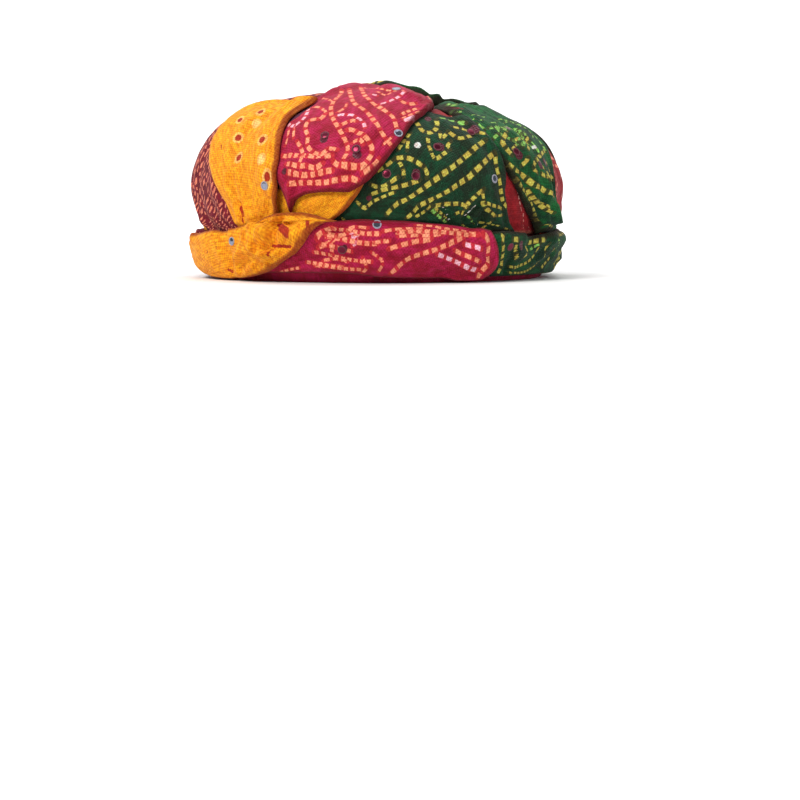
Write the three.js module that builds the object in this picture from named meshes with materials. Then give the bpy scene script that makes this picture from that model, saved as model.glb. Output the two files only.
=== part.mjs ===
// A ready-tied turban (pagri) of printed patchwork cotton.
// A cloth cap carries long folds that run over the crown, and wraps wound round a padded band close the rim.
// Millimetres, +Z up, +Y to the back, +X to the wearer's left. The origin is the middle of the foot.
import * as THREE from "three";
import { mergeVertices } from "three/addons/utils/BufferGeometryUtils.js";

// Driving dimensions
const HEAD_WIDTH = 155; // opening for the head, side to side
const HEAD_LENGTH = 193; // opening for the head, front to back
const BAND_THICKNESS = 10.4; // padded roll at its fullest
const BAND_HEIGHT = 25;
const CROWN_EASE = 9.4; // crown's fullest girth beyond the head, under the folds
const CROWN_HEIGHT = 59; // band's top to the crest, under the folds
const CAP_WALL = 2.4;
const CLOTH = 2.2; // wall of one folded cloth, two layers and a turned hem
const SEAT = 0.3; // gap between a piece and what carries it
const FACET_ROOM = 0.45; // room that the flat facets of a curved seat take
const LAP = 0.9; // gap between a fold and the one it lies over
const SKIRT = 2.5; // how far an upper cloth keeps its height past a lower one's edge
const SETTLE = 9; // run in which it then comes down to its seat
const PUFF_RUN = 17; // run from a fold's edge to its full puff
const EDGE_SHARE = 0.55; // a fold's thickness at its edge, as a share of the cloth
const MIRROR_RADIUS = 2.1;
const MIRROR_THICKNESS = 0.8;

const HALF_WIDTH = HEAD_WIDTH / 2;
const HALF_LENGTH = HEAD_LENGTH / 2;

const MAGENTA = { color: 0xb32a55, roughness: 0.85, metalness: 0 };
const YELLOW = { color: 0xf2a516, roughness: 0.85, metalness: 0 };
const GREEN = { color: 0x17603a, roughness: 0.85, metalness: 0 };
const RED = { color: 0xa8262c, roughness: 0.85, metalness: 0 };
const MAROON = { color: 0x8c1f3c, roughness: 0.85, metalness: 0 };
const MIRROR = { color: 0xc9ccd4, roughness: 0.12, metalness: 1 };

// The form under the folds, from the crest (reach 0) to the crown's foot (reach 1) and down the band.
// Crown rows: girth is a share of the fullest girth, rise a share of CROWN_HEIGHT.
const CROWN_ROWS = [
  { reach: 0.0, girth: 0.0, rise: 1.0 },
  { reach: 0.1, girth: 0.165, rise: 0.998 },
  { reach: 0.2, girth: 0.33, rise: 0.99 },
  { reach: 0.3, girth: 0.485, rise: 0.965 },
  { reach: 0.4, girth: 0.63, rise: 0.912 },
  { reach: 0.5, girth: 0.76, rise: 0.825 },
  { reach: 0.6, girth: 0.87, rise: 0.705 },
  { reach: 0.7, girth: 0.95, rise: 0.552 },
  { reach: 0.8, girth: 0.993, rise: 0.372 },
  { reach: 0.9, girth: 0.99, rise: 0.185 },
];
// Band rows: out is a share of BAND_THICKNESS, rise a share of BAND_HEIGHT.
const BAND_ROWS = [
  { reach: 1.0, out: 0.76, rise: 1.0 },
  { reach: 1.1, out: 1.0, rise: 0.67 },
  { reach: 1.2, out: 0.97, rise: 0.37 },
  { reach: 1.3, out: 0.72, rise: 0.13 },
];
const REACH_STEP = 0.1;

// Broad low and full places of the crown. spread is in reach, depth a share of CROWN_HEIGHT.
const HOLLOWS = [
  { turn: 58, reach: 0.36, spread: 0.32, depth: 0.165 },
  { turn: -64, reach: 0.52, spread: 0.2, depth: -0.022 },
  { turn: 0, reach: 0.36, spread: 0.2, depth: -0.035 },
  { turn: 140, reach: 0.3, spread: 0.3, depth: 0.05 },
  { turn: -120, reach: 0.5, spread: 0.24, depth: -0.03 },
];

// Folds and wraps, from the lowest layer to the highest. An edge is a list of [turn, reach]:
// turn is degrees from the front towards +X, reach as above. puff is how far its middle stands up,
// ease a slack over what it lies on. cells are its facets across and up. Side a runs from the foot to the top
// along the edge with the smaller turn, side b along the other; foot and top may bend between them.
// chart "plan" is for a fold that crosses the crest.
const FOLDS = [
  {
    name: "fold_red_inner", look: RED, puff: 0.4, cells: [6, 12],
    a: [[37, 1.05], [34, 0.95], [31, 0.8], [27, 0.68], [18, 0.54], [6, 0.4]],
    b: [[57, 1.05], [54, 0.92], [48, 0.78], [44, 0.66], [42, 0.54], [42, 0.4]],
  },
  {
    name: "fold_red_side", look: RED, puff: 3.4, cells: [7, 12],
    a: [[57, 1.06], [55, 0.92], [55, 0.8], [57, 0.68], [54, 0.55], [45, 0.4], [30, 0.25]],
    b: [[104, 1.06], [106, 0.92], [107, 0.8], [106, 0.68], [102, 0.55], [96, 0.4], [84, 0.25]],
  },
  {
    name: "fold_green_side", look: GREEN, puff: 3.8, cells: [7, 13],
    a: [[53, 1.06], [52, 0.98], [49, 0.93], [44.5, 0.87], [40, 0.8], [37, 0.74], [33.5, 0.67], [30, 0.58], [30, 0.46],
      [34, 0.34]],
    b: [[67, 1.06], [65, 0.97], [63, 0.92], [60.5, 0.86], [60, 0.8], [62, 0.74], [64, 0.67], [65, 0.56], [66, 0.46], [74, 0.32]],
  },
  {
    name: "fold_green_front", look: GREEN, puff: 3.6, cells: [9, 12],
    a: [[-20, 1.04], [-15, 0.94], [-8, 0.84], [-2, 0.74], [4, 0.64], [8, 0.52]],
    b: [[42, 1.06], [39.5, 0.96], [37.5, 0.86], [36, 0.77], [33.5, 0.67], [29.5, 0.57]],
    top: [[8, 0.52], [17, 0.54], [24, 0.555], [29.5, 0.57]],
  },
  {
    name: "fold_yellow_tie", look: YELLOW, puff: 1.6, cells: [8, 5],
    a: [[-32, 1.02], [-32, 0.94], [-31, 0.85]],
    b: [[-13, 0.99], [-8, 0.92], [-3.5, 0.83]],
    foot: [[-32, 1.02], [-26, 1.035], [-19, 1.03], [-13, 0.99]],
    top: [[-31, 0.85], [-20, 0.82], [-10, 0.815], [-3.5, 0.83]],
  },
  {
    name: "fold_magenta_back", look: MAGENTA, puff: 4.0, cells: [7, 12],
    a: [[186, 1.05], [189, 0.9], [191, 0.75], [190, 0.6], [186, 0.45], [180, 0.3], [172, 0.17]],
    b: [[237, 1.05], [240, 0.9], [242, 0.75], [242, 0.6], [240, 0.45], [236, 0.3], [228, 0.17]],
  },
  {
    name: "fold_yellow_side", look: YELLOW, puff: 2.4, cells: [7, 12],
    a: [[232, 1.05], [235, 0.9], [237, 0.75], [238, 0.6], [236, 0.45], [232, 0.3], [222, 0.19]],
    b: [[292, 1.05], [288, 0.9], [286, 0.75], [288, 0.6], [292, 0.45], [298, 0.32], [306, 0.19]],
  },
  {
    name: "fold_maroon_side", look: MAROON, puff: 2.6, cells: [8, 13],
    a: [[-63, 1.07], [-72, 0.96], [-78, 0.86], [-81, 0.74], [-78, 0.6], [-70, 0.48], [-58, 0.36], [-44, 0.22]],
    b: [[-36, 1.05], [-41, 0.96], [-45, 0.86], [-50, 0.74], [-49, 0.62], [-38, 0.5], [-22, 0.4], [-4, 0.25]],
  },
  {
    name: "fold_magenta_front", look: MAGENTA, puff: 4.8, cells: [9, 14], chart: "plan",
    a: [[-24.5, 0.945], [-27, 0.86], [-31, 0.78], [-33, 0.68], [-33, 0.58], [-28, 0.47], [-26, 0.34], [-46, 0.2],
      [-105, 0.17]],
    b: [[-7.5, 0.865], [-1.5, 0.815], [5, 0.72], [10.5, 0.62], [15.5, 0.565], [21, 0.49], [26, 0.36], [44, 0.22],
      [100, 0.17]],
    foot: [[-24.5, 0.945], [-21.5, 0.885], [-15, 0.868], [-7.5, 0.865]],
    top: [[-105, 0.17], [-150, 0.24], [150, 0.24], [100, 0.17]],
  },
  {
    name: "fold_yellow_front", look: YELLOW, puff: 5.2, cells: [8, 13],
    a: [[-43, 1.04], [-46, 0.95], [-50, 0.87], [-56, 0.79], [-60, 0.73], [-63, 0.65], [-62, 0.56], [-52, 0.44],
      [-36, 0.37]],
    b: [[-31, 1.0], [-28.5, 0.93], [-27.5, 0.84], [-28, 0.75], [-29.5, 0.66], [-29.5, 0.6], [-26.5, 0.53], [-24, 0.47],
      [-23, 0.42]],
  },
  {
    name: "fold_yellow_back", look: YELLOW, puff: 4.4, cells: [7, 12],
    a: [[145, 1.05], [148, 0.9], [150, 0.75], [150, 0.6], [148, 0.45], [142, 0.3], [130, 0.18]],
    b: [[192, 1.05], [195, 0.9], [196, 0.75], [195, 0.6], [192, 0.45], [186, 0.3], [178, 0.18]],
  },
  {
    name: "fold_green_crown", look: GREEN, puff: 1.8, ease: 0.3, cells: [9, 15], chart: "plan",
    a: [[99, 1.05], [98, 0.9], [95, 0.76], [88, 0.62], [77, 0.47], [60, 0.37], [42, 0.31], [26, 0.28], [10, 0.25],
      [-8, 0.2], [-40, 0.14]],
    b: [[150, 1.05], [153, 0.9], [156, 0.76], [160, 0.63], [166, 0.52], [174, 0.42], [186, 0.34], [206, 0.28],
      [232, 0.25], [262, 0.25]],
    foot: [[99, 1.05], [116, 1.05], [133, 1.05], [150, 1.05]],
    top: [[-40, 0.14], [-70, 0.18], [-98, 0.25]],
  },
  {
    name: "wrap_maroon_back", look: MAROON, puff: 1.6, ease: 0.2, cells: [8, 5],
    a: [[104, 1.29], [106, 1.15], [110, 1.02]],
    b: [[160, 1.29], [155, 1.15], [151, 1.03]],
  },
  {
    name: "wrap_green_back", look: GREEN, puff: 1.8, cells: [8, 5],
    a: [[190, 1.29], [194, 1.15], [200, 1.0]],
    b: [[246, 1.29], [250, 1.15], [254, 1.02]],
  },
  {
    name: "wrap_yellow_back", look: YELLOW, puff: 2.2, ease: 0.6, cells: [10, 6],
    a: [[148, 1.29], [144, 1.15], [138, 0.995]],
    b: [[202, 1.29], [206, 1.15], [212, 0.995]],
  },
  {
    name: "wrap_maroon_left", look: MAROON, puff: 2.2, cells: [9, 5],
    a: [[-120, 1.295], [-116, 1.15], [-110, 1.0]],
    b: [[-50, 1.295], [-52, 1.17], [-56, 1.06]],
  },
  {
    name: "wrap_green_right", look: GREEN, puff: 2.4, cells: [13, 5],
    a: [[24, 1.295], [27, 1.17], [30, 1.055]],
    b: [[116, 1.295], [121, 1.15], [126, 1.0]],
    top: [[30, 1.055], [42, 1.065], [52, 1.075], [66, 1.06], [84, 1.03], [104, 1.01], [126, 1.0]],
  },
  {
    name: "wrap_magenta_front", look: MAGENTA, puff: 2.8, cells: [12, 6],
    a: [[-42, 1.27], [-40, 1.2], [-35, 1.11]],
    b: [[29.5, 1.295], [33.5, 1.19], [30.5, 1.06]],
    foot: [[-42, 1.27], [-30, 1.262], [-18, 1.26], [-8, 1.262], [0, 1.288], [12, 1.3], [22, 1.3], [29.5, 1.295]],
    top: [[-35, 1.11], [-24, 1.03], [-12, 0.99], [-4, 0.975], [5, 0.985], [15, 1.0], [24, 1.03], [30.5, 1.06]],
  },
  {
    name: "wrap_yellow_front", look: YELLOW, puff: 3.0, cells: [12, 6],
    a: [[-72, 1.255], [-77, 1.17], [-73, 1.09]],
    b: [[-22, 1.145], [-18, 1.075], [-13.5, 0.99]],
    foot: [[-72, 1.255], [-60, 1.295], [-48, 1.3], [-39, 1.275], [-30, 1.22], [-22, 1.145]],
    top: [[-73, 1.09], [-62, 1.065], [-50, 1.035], [-40, 1.005], [-32, 0.955], [-25, 0.94], [-19, 0.955], [-13.5, 0.99]],
  },
];

// Mirrors sewn on, each on the highest cloth at its place.
const MIRRORS = [
  { turn: -30.5, reach: 0.84 },
  { turn: -46, reach: 1.1 },
  { turn: -15, reach: 0.69 },
  { turn: -5.8, reach: 0.745 },
  { turn: 5.2, reach: 0.685 },
  { turn: 7, reach: 0.45 },
  { turn: 2, reach: 0.81 },
  { turn: 9.5, reach: 0.815 },
  { turn: 16, reach: 0.72 },
  { turn: 27.5, reach: 0.655 },
  { turn: 32, reach: 0.815 },
  { turn: 42, reach: 0.72 },
  { turn: 54.5, reach: 0.75 },
  { turn: -0.5, reach: 1.02 },
  { turn: -9.5, reach: 1.13 },
  { turn: 37.3, reach: 1.12 },
  { turn: 88, reach: 0.82 },
  { turn: 122, reach: 0.72 },
  { turn: 168, reach: 0.66 },
  { turn: 214, reach: 0.74 },
  { turn: 262, reach: 0.7 },
  { turn: 176, reach: 1.14 },
];

const RAD = Math.PI / 180;
const LAST_REACH = BAND_ROWS[BAND_ROWS.length - 1].reach;

const STATIONS = [
  ...CROWN_ROWS.map((row) => ({
    wide: row.girth * (HALF_WIDTH + CROWN_EASE),
    long: row.girth * (HALF_LENGTH + CROWN_EASE),
    high: BAND_HEIGHT + row.rise * CROWN_HEIGHT,
  })),
  ...BAND_ROWS.map((row) => ({
    wide: HALF_WIDTH + row.out * BAND_THICKNESS,
    long: HALF_LENGTH + row.out * BAND_THICKNESS,
    high: row.rise * BAND_HEIGHT,
  })),
];

// One station value at a reach, on a smooth curve through the rows; girths run on through the crest.
function along(key, reach) {
  const at = Math.min(Math.max(reach / REACH_STEP, 0), STATIONS.length - 1 - 1e-9);
  const i = Math.floor(at);
  const t = at - i;
  const last = STATIONS.length - 1;
  const crestSign = key === "high" ? 1 : -1;
  const value = (k) => {
    if (k < 0) return crestSign * STATIONS[-k][key];
    if (k > last) return 2 * STATIONS[last][key] - STATIONS[last - 1][key];
    return STATIONS[k][key];
  };
  const [p, q, r, s] = [value(i - 1), value(i), value(i + 1), value(i + 2)];
  return 0.5 * (2 * q + (r - p) * t + (2 * p - 5 * q + 4 * r - s) * t * t + (3 * q - p - 3 * r + s) * t ** 3);
}

// Plan chart: the crown rolled flat, crest at (0, 0), front towards -y, distance from the crest is the reach.
function planOf(turn, reach) {
  return new THREE.Vector2(reach * Math.sin(turn * RAD), -reach * Math.cos(turn * RAD));
}

function formAt(plan) {
  const reach = Math.min(plan.length(), LAST_REACH);
  const turn = Math.atan2(plan.x, -plan.y);
  let high = along("high", reach);
  for (const hollow of HOLLOWS) {
    const away = planOf(hollow.turn, hollow.reach).distanceTo(plan) / hollow.spread;
    high -= hollow.depth * CROWN_HEIGHT * Math.exp(-away * away);
  }
  return new THREE.Vector3(along("wide", reach) * Math.sin(turn), -along("long", reach) * Math.cos(turn), high);
}

const PROBE = 0.004;
function normalAt(plan) {
  const inner = plan.clone().setLength(Math.min(plan.length(), LAST_REACH - 2 * PROBE));
  const step = (dx, dy) => formAt(new THREE.Vector2(inner.x + dx, inner.y + dy));
  const acrossX = step(PROBE, 0).sub(step(-PROBE, 0));
  const acrossY = step(0, PROBE).sub(step(0, -PROBE));
  return acrossX.cross(acrossY).normalize();
}

function raised(plan, height) {
  return formAt(plan).addScaledVector(normalAt(plan), height);
}

const smooth = (t) => t * t * (3 - 2 * t);
const clamp = (t) => Math.min(Math.max(t, 0), 1);

// Edges of a fold as curves of its chart
const EDGE_STEPS = 28;
function chartPoint(fold, [turn, reach]) {
  return fold.chart === "plan" ? planOf(turn, reach) : new THREE.Vector2(turn, reach);
}
function planFrom(fold, point) {
  return fold.chart === "plan" ? point : planOf(point.x, point.y);
}
function edgeCurve(fold, rows) {
  return new THREE.SplineCurve(rows.map((row) => chartPoint(fold, row)));
}
const ends = (rows) => [rows[0], rows[rows.length - 1]];

class Fold {
  constructor(row) {
    Object.assign(this, row);
    const [aFoot, aTop] = ends(row.a);
    const [bFoot, bTop] = ends(row.b);
    this.sideA = edgeCurve(row, row.a);
    this.sideB = edgeCurve(row, row.b);
    this.footCurve = edgeCurve(row, row.foot ?? [aFoot, bFoot]);
    this.topCurve = edgeCurve(row, row.top ?? [aTop, bTop]);
    const outline = [];
    for (const [curve, backwards] of [
      [this.footCurve, false],
      [this.sideB, false],
      [this.topCurve, true],
      [this.sideA, true],
    ]) {
      for (let i = 0; i < EDGE_STEPS; i++) {
        const t = i / EDGE_STEPS;
        outline.push(planFrom(row, curve.getPoint(backwards ? 1 - t : t)));
      }
    }
    this.outline = outline;
    this.outlineForm = outline.map(formAt);
  }

  // Point of the fold's cloth at u across and v up, blended from its four edges
  at(u, v) {
    const mix = (p, q, t) => p.clone().lerp(q, t);
    const sides = mix(this.sideA.getPoint(v), this.sideB.getPoint(v), u);
    const spans = mix(this.footCurve.getPoint(u), this.topCurve.getPoint(u), v);
    const corners = mix(
      mix(this.sideA.getPoint(0), this.sideB.getPoint(0), u),
      mix(this.sideA.getPoint(1), this.sideB.getPoint(1), u),
      v,
    );
    return planFrom(this, sides.add(spans).sub(corners));
  }

  // Distance from a point of the form to the fold's edge: below 0 inside it
  distance(plan, point) {
    let nearest = Infinity;
    let inside = false;
    const n = this.outline.length;
    for (let i = 0, j = n - 1; i < n; j = i++) {
      const p = this.outline[i];
      const q = this.outline[j];
      if (p.y > plan.y !== q.y > plan.y && plan.x < ((q.x - p.x) * (plan.y - p.y)) / (q.y - p.y) + p.x)
        inside = !inside;
      const start = this.outlineForm[j];
      const way = this.outlineForm[i].clone().sub(start);
      const t = clamp(point.clone().sub(start).dot(way) / Math.max(way.lengthSq(), 1e-9));
      nearest = Math.min(nearest, way.multiplyScalar(t).add(start).distanceTo(point));
    }
    return inside ? -nearest : nearest;
  }
}

const folds = FOLDS.map((row) => new Fold(row));

// Height of a fold's inner side over the form: on the folds below it, with its own puff
function heightOf(index, plan) {
  const point = formAt(plan);
  const heights = [];
  for (let i = 0; i <= index; i++) {
    const away = folds[i].distance(plan, point);
    let height = SEAT + FACET_ROOM;
    for (let j = 0; j < i; j++) {
      const over = heights[j].height + CLOTH + LAP + (folds[i].ease ?? 0);
      const share = smooth(clamp(1 - (heights[j].away - SKIRT) / SETTLE));
      height = Math.max(height, SEAT + FACET_ROOM + (over - SEAT - FACET_ROOM) * share);
    }
    height += folds[i].puff * Math.sin((clamp(-away / PUFF_RUN) * Math.PI) / 2);
    heights.push({ away, height });
  }
  return heights[index].height;
}

// A closed wall between two grids of points with the same rows and columns
function wallBetween(inner, outer) {
  const rows = inner.length;
  const columns = inner[0].length;
  const positions = [];
  const face = (p, q, r) => positions.push(...p.toArray(), ...q.toArray(), ...r.toArray());
  const quad = (p, q, r, s) => {
    face(p, q, r);
    face(p, r, s);
  };
  for (let i = 0; i < rows - 1; i++) {
    for (let j = 0; j < columns - 1; j++) {
      quad(outer[i][j], outer[i][j + 1], outer[i + 1][j + 1], outer[i + 1][j]);
      quad(inner[i][j], inner[i + 1][j], inner[i + 1][j + 1], inner[i][j + 1]);
    }
    quad(inner[i][0], outer[i][0], outer[i + 1][0], inner[i + 1][0]);
    quad(outer[i][columns - 1], inner[i][columns - 1], inner[i + 1][columns - 1], outer[i + 1][columns - 1]);
  }
  for (let j = 0; j < columns - 1; j++) {
    quad(inner[0][j], inner[0][j + 1], outer[0][j + 1], outer[0][j]);
    quad(outer[rows - 1][j], outer[rows - 1][j + 1], inner[rows - 1][j + 1], inner[rows - 1][j]);
  }
  return new THREE.BufferGeometry().setAttribute("position", new THREE.Float32BufferAttribute(positions, 3));
}

// Steps from 0 to 1 with a short first and last cell, so that an edge stays crisp
const EDGE_CELL = 0.4;
function steps(count) {
  const inner = 1 / (count - 2 + 2 * EDGE_CELL);
  return Array.from({ length: count + 1 }, (_, i) => {
    if (i === 0 || i === count) return i / count;
    return (i - 1 + EDGE_CELL) * inner;
  });
}

function clothMesh(index) {
  const fold = folds[index];
  const [across, up] = fold.cells;
  const inner = [];
  const outer = [];
  for (const v of steps(up)) {
    const innerRow = [];
    const outerRow = [];
    for (const u of steps(across)) {
      const plan = fold.at(u, v);
      const height = heightOf(index, plan);
      const edge = u === 0 || u === 1 || v === 0 || v === 1;
      innerRow.push(raised(plan, height));
      outerRow.push(raised(plan, height + CLOTH * (edge ? EDGE_SHARE : 1)));
    }
    inner.push(innerRow);
    outer.push(outerRow);
  }
  return named(fold.name, wallBetween(inner, outer), fold.look);
}

function named(name, geometry, look) {
  const mesh = new THREE.Mesh(geometry, new THREE.MeshStandardMaterial(look));
  mesh.name = name;
  return mesh;
}

// Closed body of a section turned round the form: the section's points are placed by place(k, turn)
function turned(count, sides, place) {
  const positions = [];
  for (let i = 0; i < sides; i++) {
    const [from, to] = [(360 * i) / sides, (360 * (i + 1)) / sides];
    for (let k = 0; k < count; k++) {
      const next = (k + 1) % count;
      const [p, q, r, s] = [place(k, from), place(k, to), place(next, to), place(next, from)];
      for (const corner of [p, r, q, p, s, r]) positions.push(...corner.toArray());
    }
  }
  const geometry = new THREE.BufferGeometry().setAttribute("position", new THREE.Float32BufferAttribute(positions, 3));
  return withoutSlivers(geometry);
}

// Drops the triangles that closed up to nothing, such as those at the crest
function withoutSlivers(geometry) {
  const merged = mergeVertices(geometry, 1e-3);
  const index = merged.index.array;
  const kept = [];
  for (let i = 0; i < index.length; i += 3) {
    const [p, q, r] = [index[i], index[i + 1], index[i + 2]];
    if (p !== q && q !== r && r !== p) kept.push(p, q, r);
  }
  merged.setIndex(kept);
  return merged;
}

// Cap: a cloth shell under the folds, its top sewn to its side along a seam
const CAP_SIDES = 40;
const CAP_SEAM = 0.62;
const CAP_SEAM_GAP = 0.003;
const CAP_TOP_REACHES = [0, 0.12, 0.24, 0.36, 0.46, 0.54, CAP_SEAM];
const CAP_SIDE_REACHES = [CAP_SEAM + CAP_SEAM_GAP, 0.69, 0.76, 0.83, 0.91, 0.99];
function capMesh(name, reaches) {
  const outside = reaches.map((reach) => ({ reach, depth: 0 }));
  const inside = [...reaches].reverse().map((reach) => ({ reach, depth: CAP_WALL }));
  const section = [...outside, ...inside];
  const place = (k, turn) => {
    const { reach, depth } = section[k];
    const point = raised(planOf(turn, reach), -depth);
    if (reach === CAP_SIDE_REACHES[CAP_SIDE_REACHES.length - 1]) point.z = BAND_HEIGHT + SEAT;
    return point;
  };
  return named(name, turned(section.length, CAP_SIDES, place), MAROON);
}

// Padded roll round the head: upright inside, full outside, and flat where it rests
const BAND_SIDES = 48;
const BAND_ROUND = 2.2; // softening of the roll's inner edges
const FOOT_OUT = 0.55; // outer edge of the flat foot, as a share of the band's thickness
function bandMesh() {
  const top = BAND_HEIGHT;
  const section = [
    { out: 0, high: BAND_ROUND },
    { out: 0, high: top - BAND_ROUND },
    { out: BAND_ROUND, high: top },
    { out: BAND_ROWS[0].out * BAND_THICKNESS, high: top },
    ...[1.04, 1.08, 1.12, 1.16, 1.2, 1.24, 1.28].map((reach) => ({
      out: along("wide", reach) - HALF_WIDTH,
      high: along("high", reach),
    })),
    { out: FOOT_OUT * BAND_THICKNESS, high: 0 },
    { out: BAND_ROUND, high: 0 },
  ];
  const place = (k, turn) => {
    const { out, high } = section[k];
    return new THREE.Vector3(
      (HALF_WIDTH + out) * Math.sin(turn * RAD),
      -(HALF_LENGTH + out) * Math.cos(turn * RAD),
      high,
    );
  };
  return named("band_roll", turned(section.length, BAND_SIDES, place), MAGENTA);
}

const turban = new THREE.Group();
const cloths = folds.map((_, index) => clothMesh(index));

// The highest cloth met on the way in along a line
const FAR_OUT = 60;
const needle = new THREE.Raycaster();
function clothUnder(point, out) {
  needle.set(point.clone().addScaledVector(out, FAR_OUT), out.clone().negate());
  return needle.intersectObjects(cloths)[0];
}

// A round mirror lies flat on the facets under it, clear of the highest of them
const MIRROR_SIDES = 10;
function mirrorMesh({ turn, reach }, number) {
  const plan = planOf(turn, reach);
  const middle = clothUnder(formAt(plan), normalAt(plan));
  const up = middle.face.normal;
  const along = new THREE.Vector3(0, 0, 1).cross(up).normalize();
  const across = up.clone().cross(along);
  let rise = 0;
  for (let i = 0; i < MIRROR_SIDES; i++) {
    const angle = (2 * Math.PI * i) / MIRROR_SIDES;
    const rim = middle.point.clone().addScaledVector(along, MIRROR_RADIUS * Math.cos(angle));
    rim.addScaledVector(across, MIRROR_RADIUS * Math.sin(angle));
    rise = Math.max(rise, clothUnder(rim, up).point.sub(middle.point).dot(up));
  }
  const disc = new THREE.CylinderGeometry(MIRROR_RADIUS, MIRROR_RADIUS, MIRROR_THICKNESS, MIRROR_SIDES);
  const mesh = named(`mirror_${String(number + 1).padStart(2, "0")}`, disc, MIRROR);
  mesh.position.copy(middle.point).addScaledVector(up, rise + SEAT + MIRROR_THICKNESS / 2);
  mesh.quaternion.setFromUnitVectors(new THREE.Vector3(0, 1, 0), up);
  return mesh;
}

turban.add(capMesh("cap_top", CAP_TOP_REACHES), capMesh("cap_side", CAP_SIDE_REACHES), bandMesh());
turban.add(...cloths, ...MIRRORS.map(mirrorMesh));

// The origin is the middle of the whole pagri's foot
const box = new THREE.Box3().setFromObject(turban, true);
const middle = box.getCenter(new THREE.Vector3());
turban.position.set(-middle.x, -middle.y, -box.min.z);

export default turban;
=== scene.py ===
"""Looks of a ready-tied turban (pagri) of printed patchwork cotton.

The form is worked out as the solids' is. Turn is in degrees from the front towards the wearer's left, and
reach is 0 at the crown's middle, 1 at its foot and 1.3 under the band. Cloths are laid over each other in
millimetres and moved to metres at the end. Fine folds, prints and stitches are added here.
"""

import math

import bpy
import numpy as np
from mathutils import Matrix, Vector, noise
from mathutils.bvhtree import BVHTree


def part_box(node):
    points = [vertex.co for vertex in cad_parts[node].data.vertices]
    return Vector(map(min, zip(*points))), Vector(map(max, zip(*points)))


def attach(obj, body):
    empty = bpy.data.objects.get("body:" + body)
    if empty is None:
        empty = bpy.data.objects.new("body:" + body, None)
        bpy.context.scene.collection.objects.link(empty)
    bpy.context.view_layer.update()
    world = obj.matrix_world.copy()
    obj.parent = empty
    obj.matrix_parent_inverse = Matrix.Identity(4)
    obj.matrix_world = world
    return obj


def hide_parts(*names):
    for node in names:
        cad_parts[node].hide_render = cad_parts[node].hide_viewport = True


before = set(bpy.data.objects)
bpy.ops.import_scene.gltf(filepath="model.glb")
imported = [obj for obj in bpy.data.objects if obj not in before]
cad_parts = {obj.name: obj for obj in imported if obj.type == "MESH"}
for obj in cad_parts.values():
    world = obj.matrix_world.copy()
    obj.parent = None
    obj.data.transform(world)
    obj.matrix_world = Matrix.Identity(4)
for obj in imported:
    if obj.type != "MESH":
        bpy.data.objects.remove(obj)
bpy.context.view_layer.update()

MM = 0.001
RAD = math.pi / 180

# Sizes of the form, in millimetres, as in the solids' source
HALF_WIDTH = 77.5
HALF_LENGTH = 96.5
BAND_THICKNESS = 10.4
BAND_HEIGHT = 25.0
CROWN_EASE = 9.4
CROWN_HEIGHT = 59.0
CAP_WALL = 2.4
CLOTH = 2.2
SEAT = 0.3
LAP = 0.75
FACET_ROOM = 0.3
SKIRT = 2.5
SETTLE = 9.0
PUFF_RUN = 17.0
BLEND = 1.2
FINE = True

# Crown rows: reach, girth as a share of the fullest, rise as a share of CROWN_HEIGHT
CROWN_ROWS = [
    (0.0, 0.0, 1.0), (0.1, 0.165, 0.998), (0.2, 0.33, 0.99), (0.3, 0.485, 0.965), (0.4, 0.63, 0.912),
    (0.5, 0.76, 0.825), (0.6, 0.87, 0.705), (0.7, 0.95, 0.552), (0.8, 0.993, 0.372), (0.9, 0.99, 0.185),
]
# Band rows: reach, out as a share of BAND_THICKNESS, rise as a share of BAND_HEIGHT
BAND_ROWS = [(1.0, 0.76, 1.0), (1.1, 1.0, 0.67), (1.2, 0.97, 0.37), (1.3, 0.72, 0.13)]
REACH_STEP = 0.1
LAST_REACH = 1.3
# Broad low and full places: turn, reach, spread in reach, depth as a share of CROWN_HEIGHT
HOLLOWS = [
    (58, 0.36, 0.32, 0.175), (-64, 0.52, 0.2, -0.022), (0, 0.36, 0.2, -0.022), (140, 0.3, 0.3, 0.05),
    (-120, 0.5, 0.24, -0.03), (22, 0.44, 0.14, -0.055),
]

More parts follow.
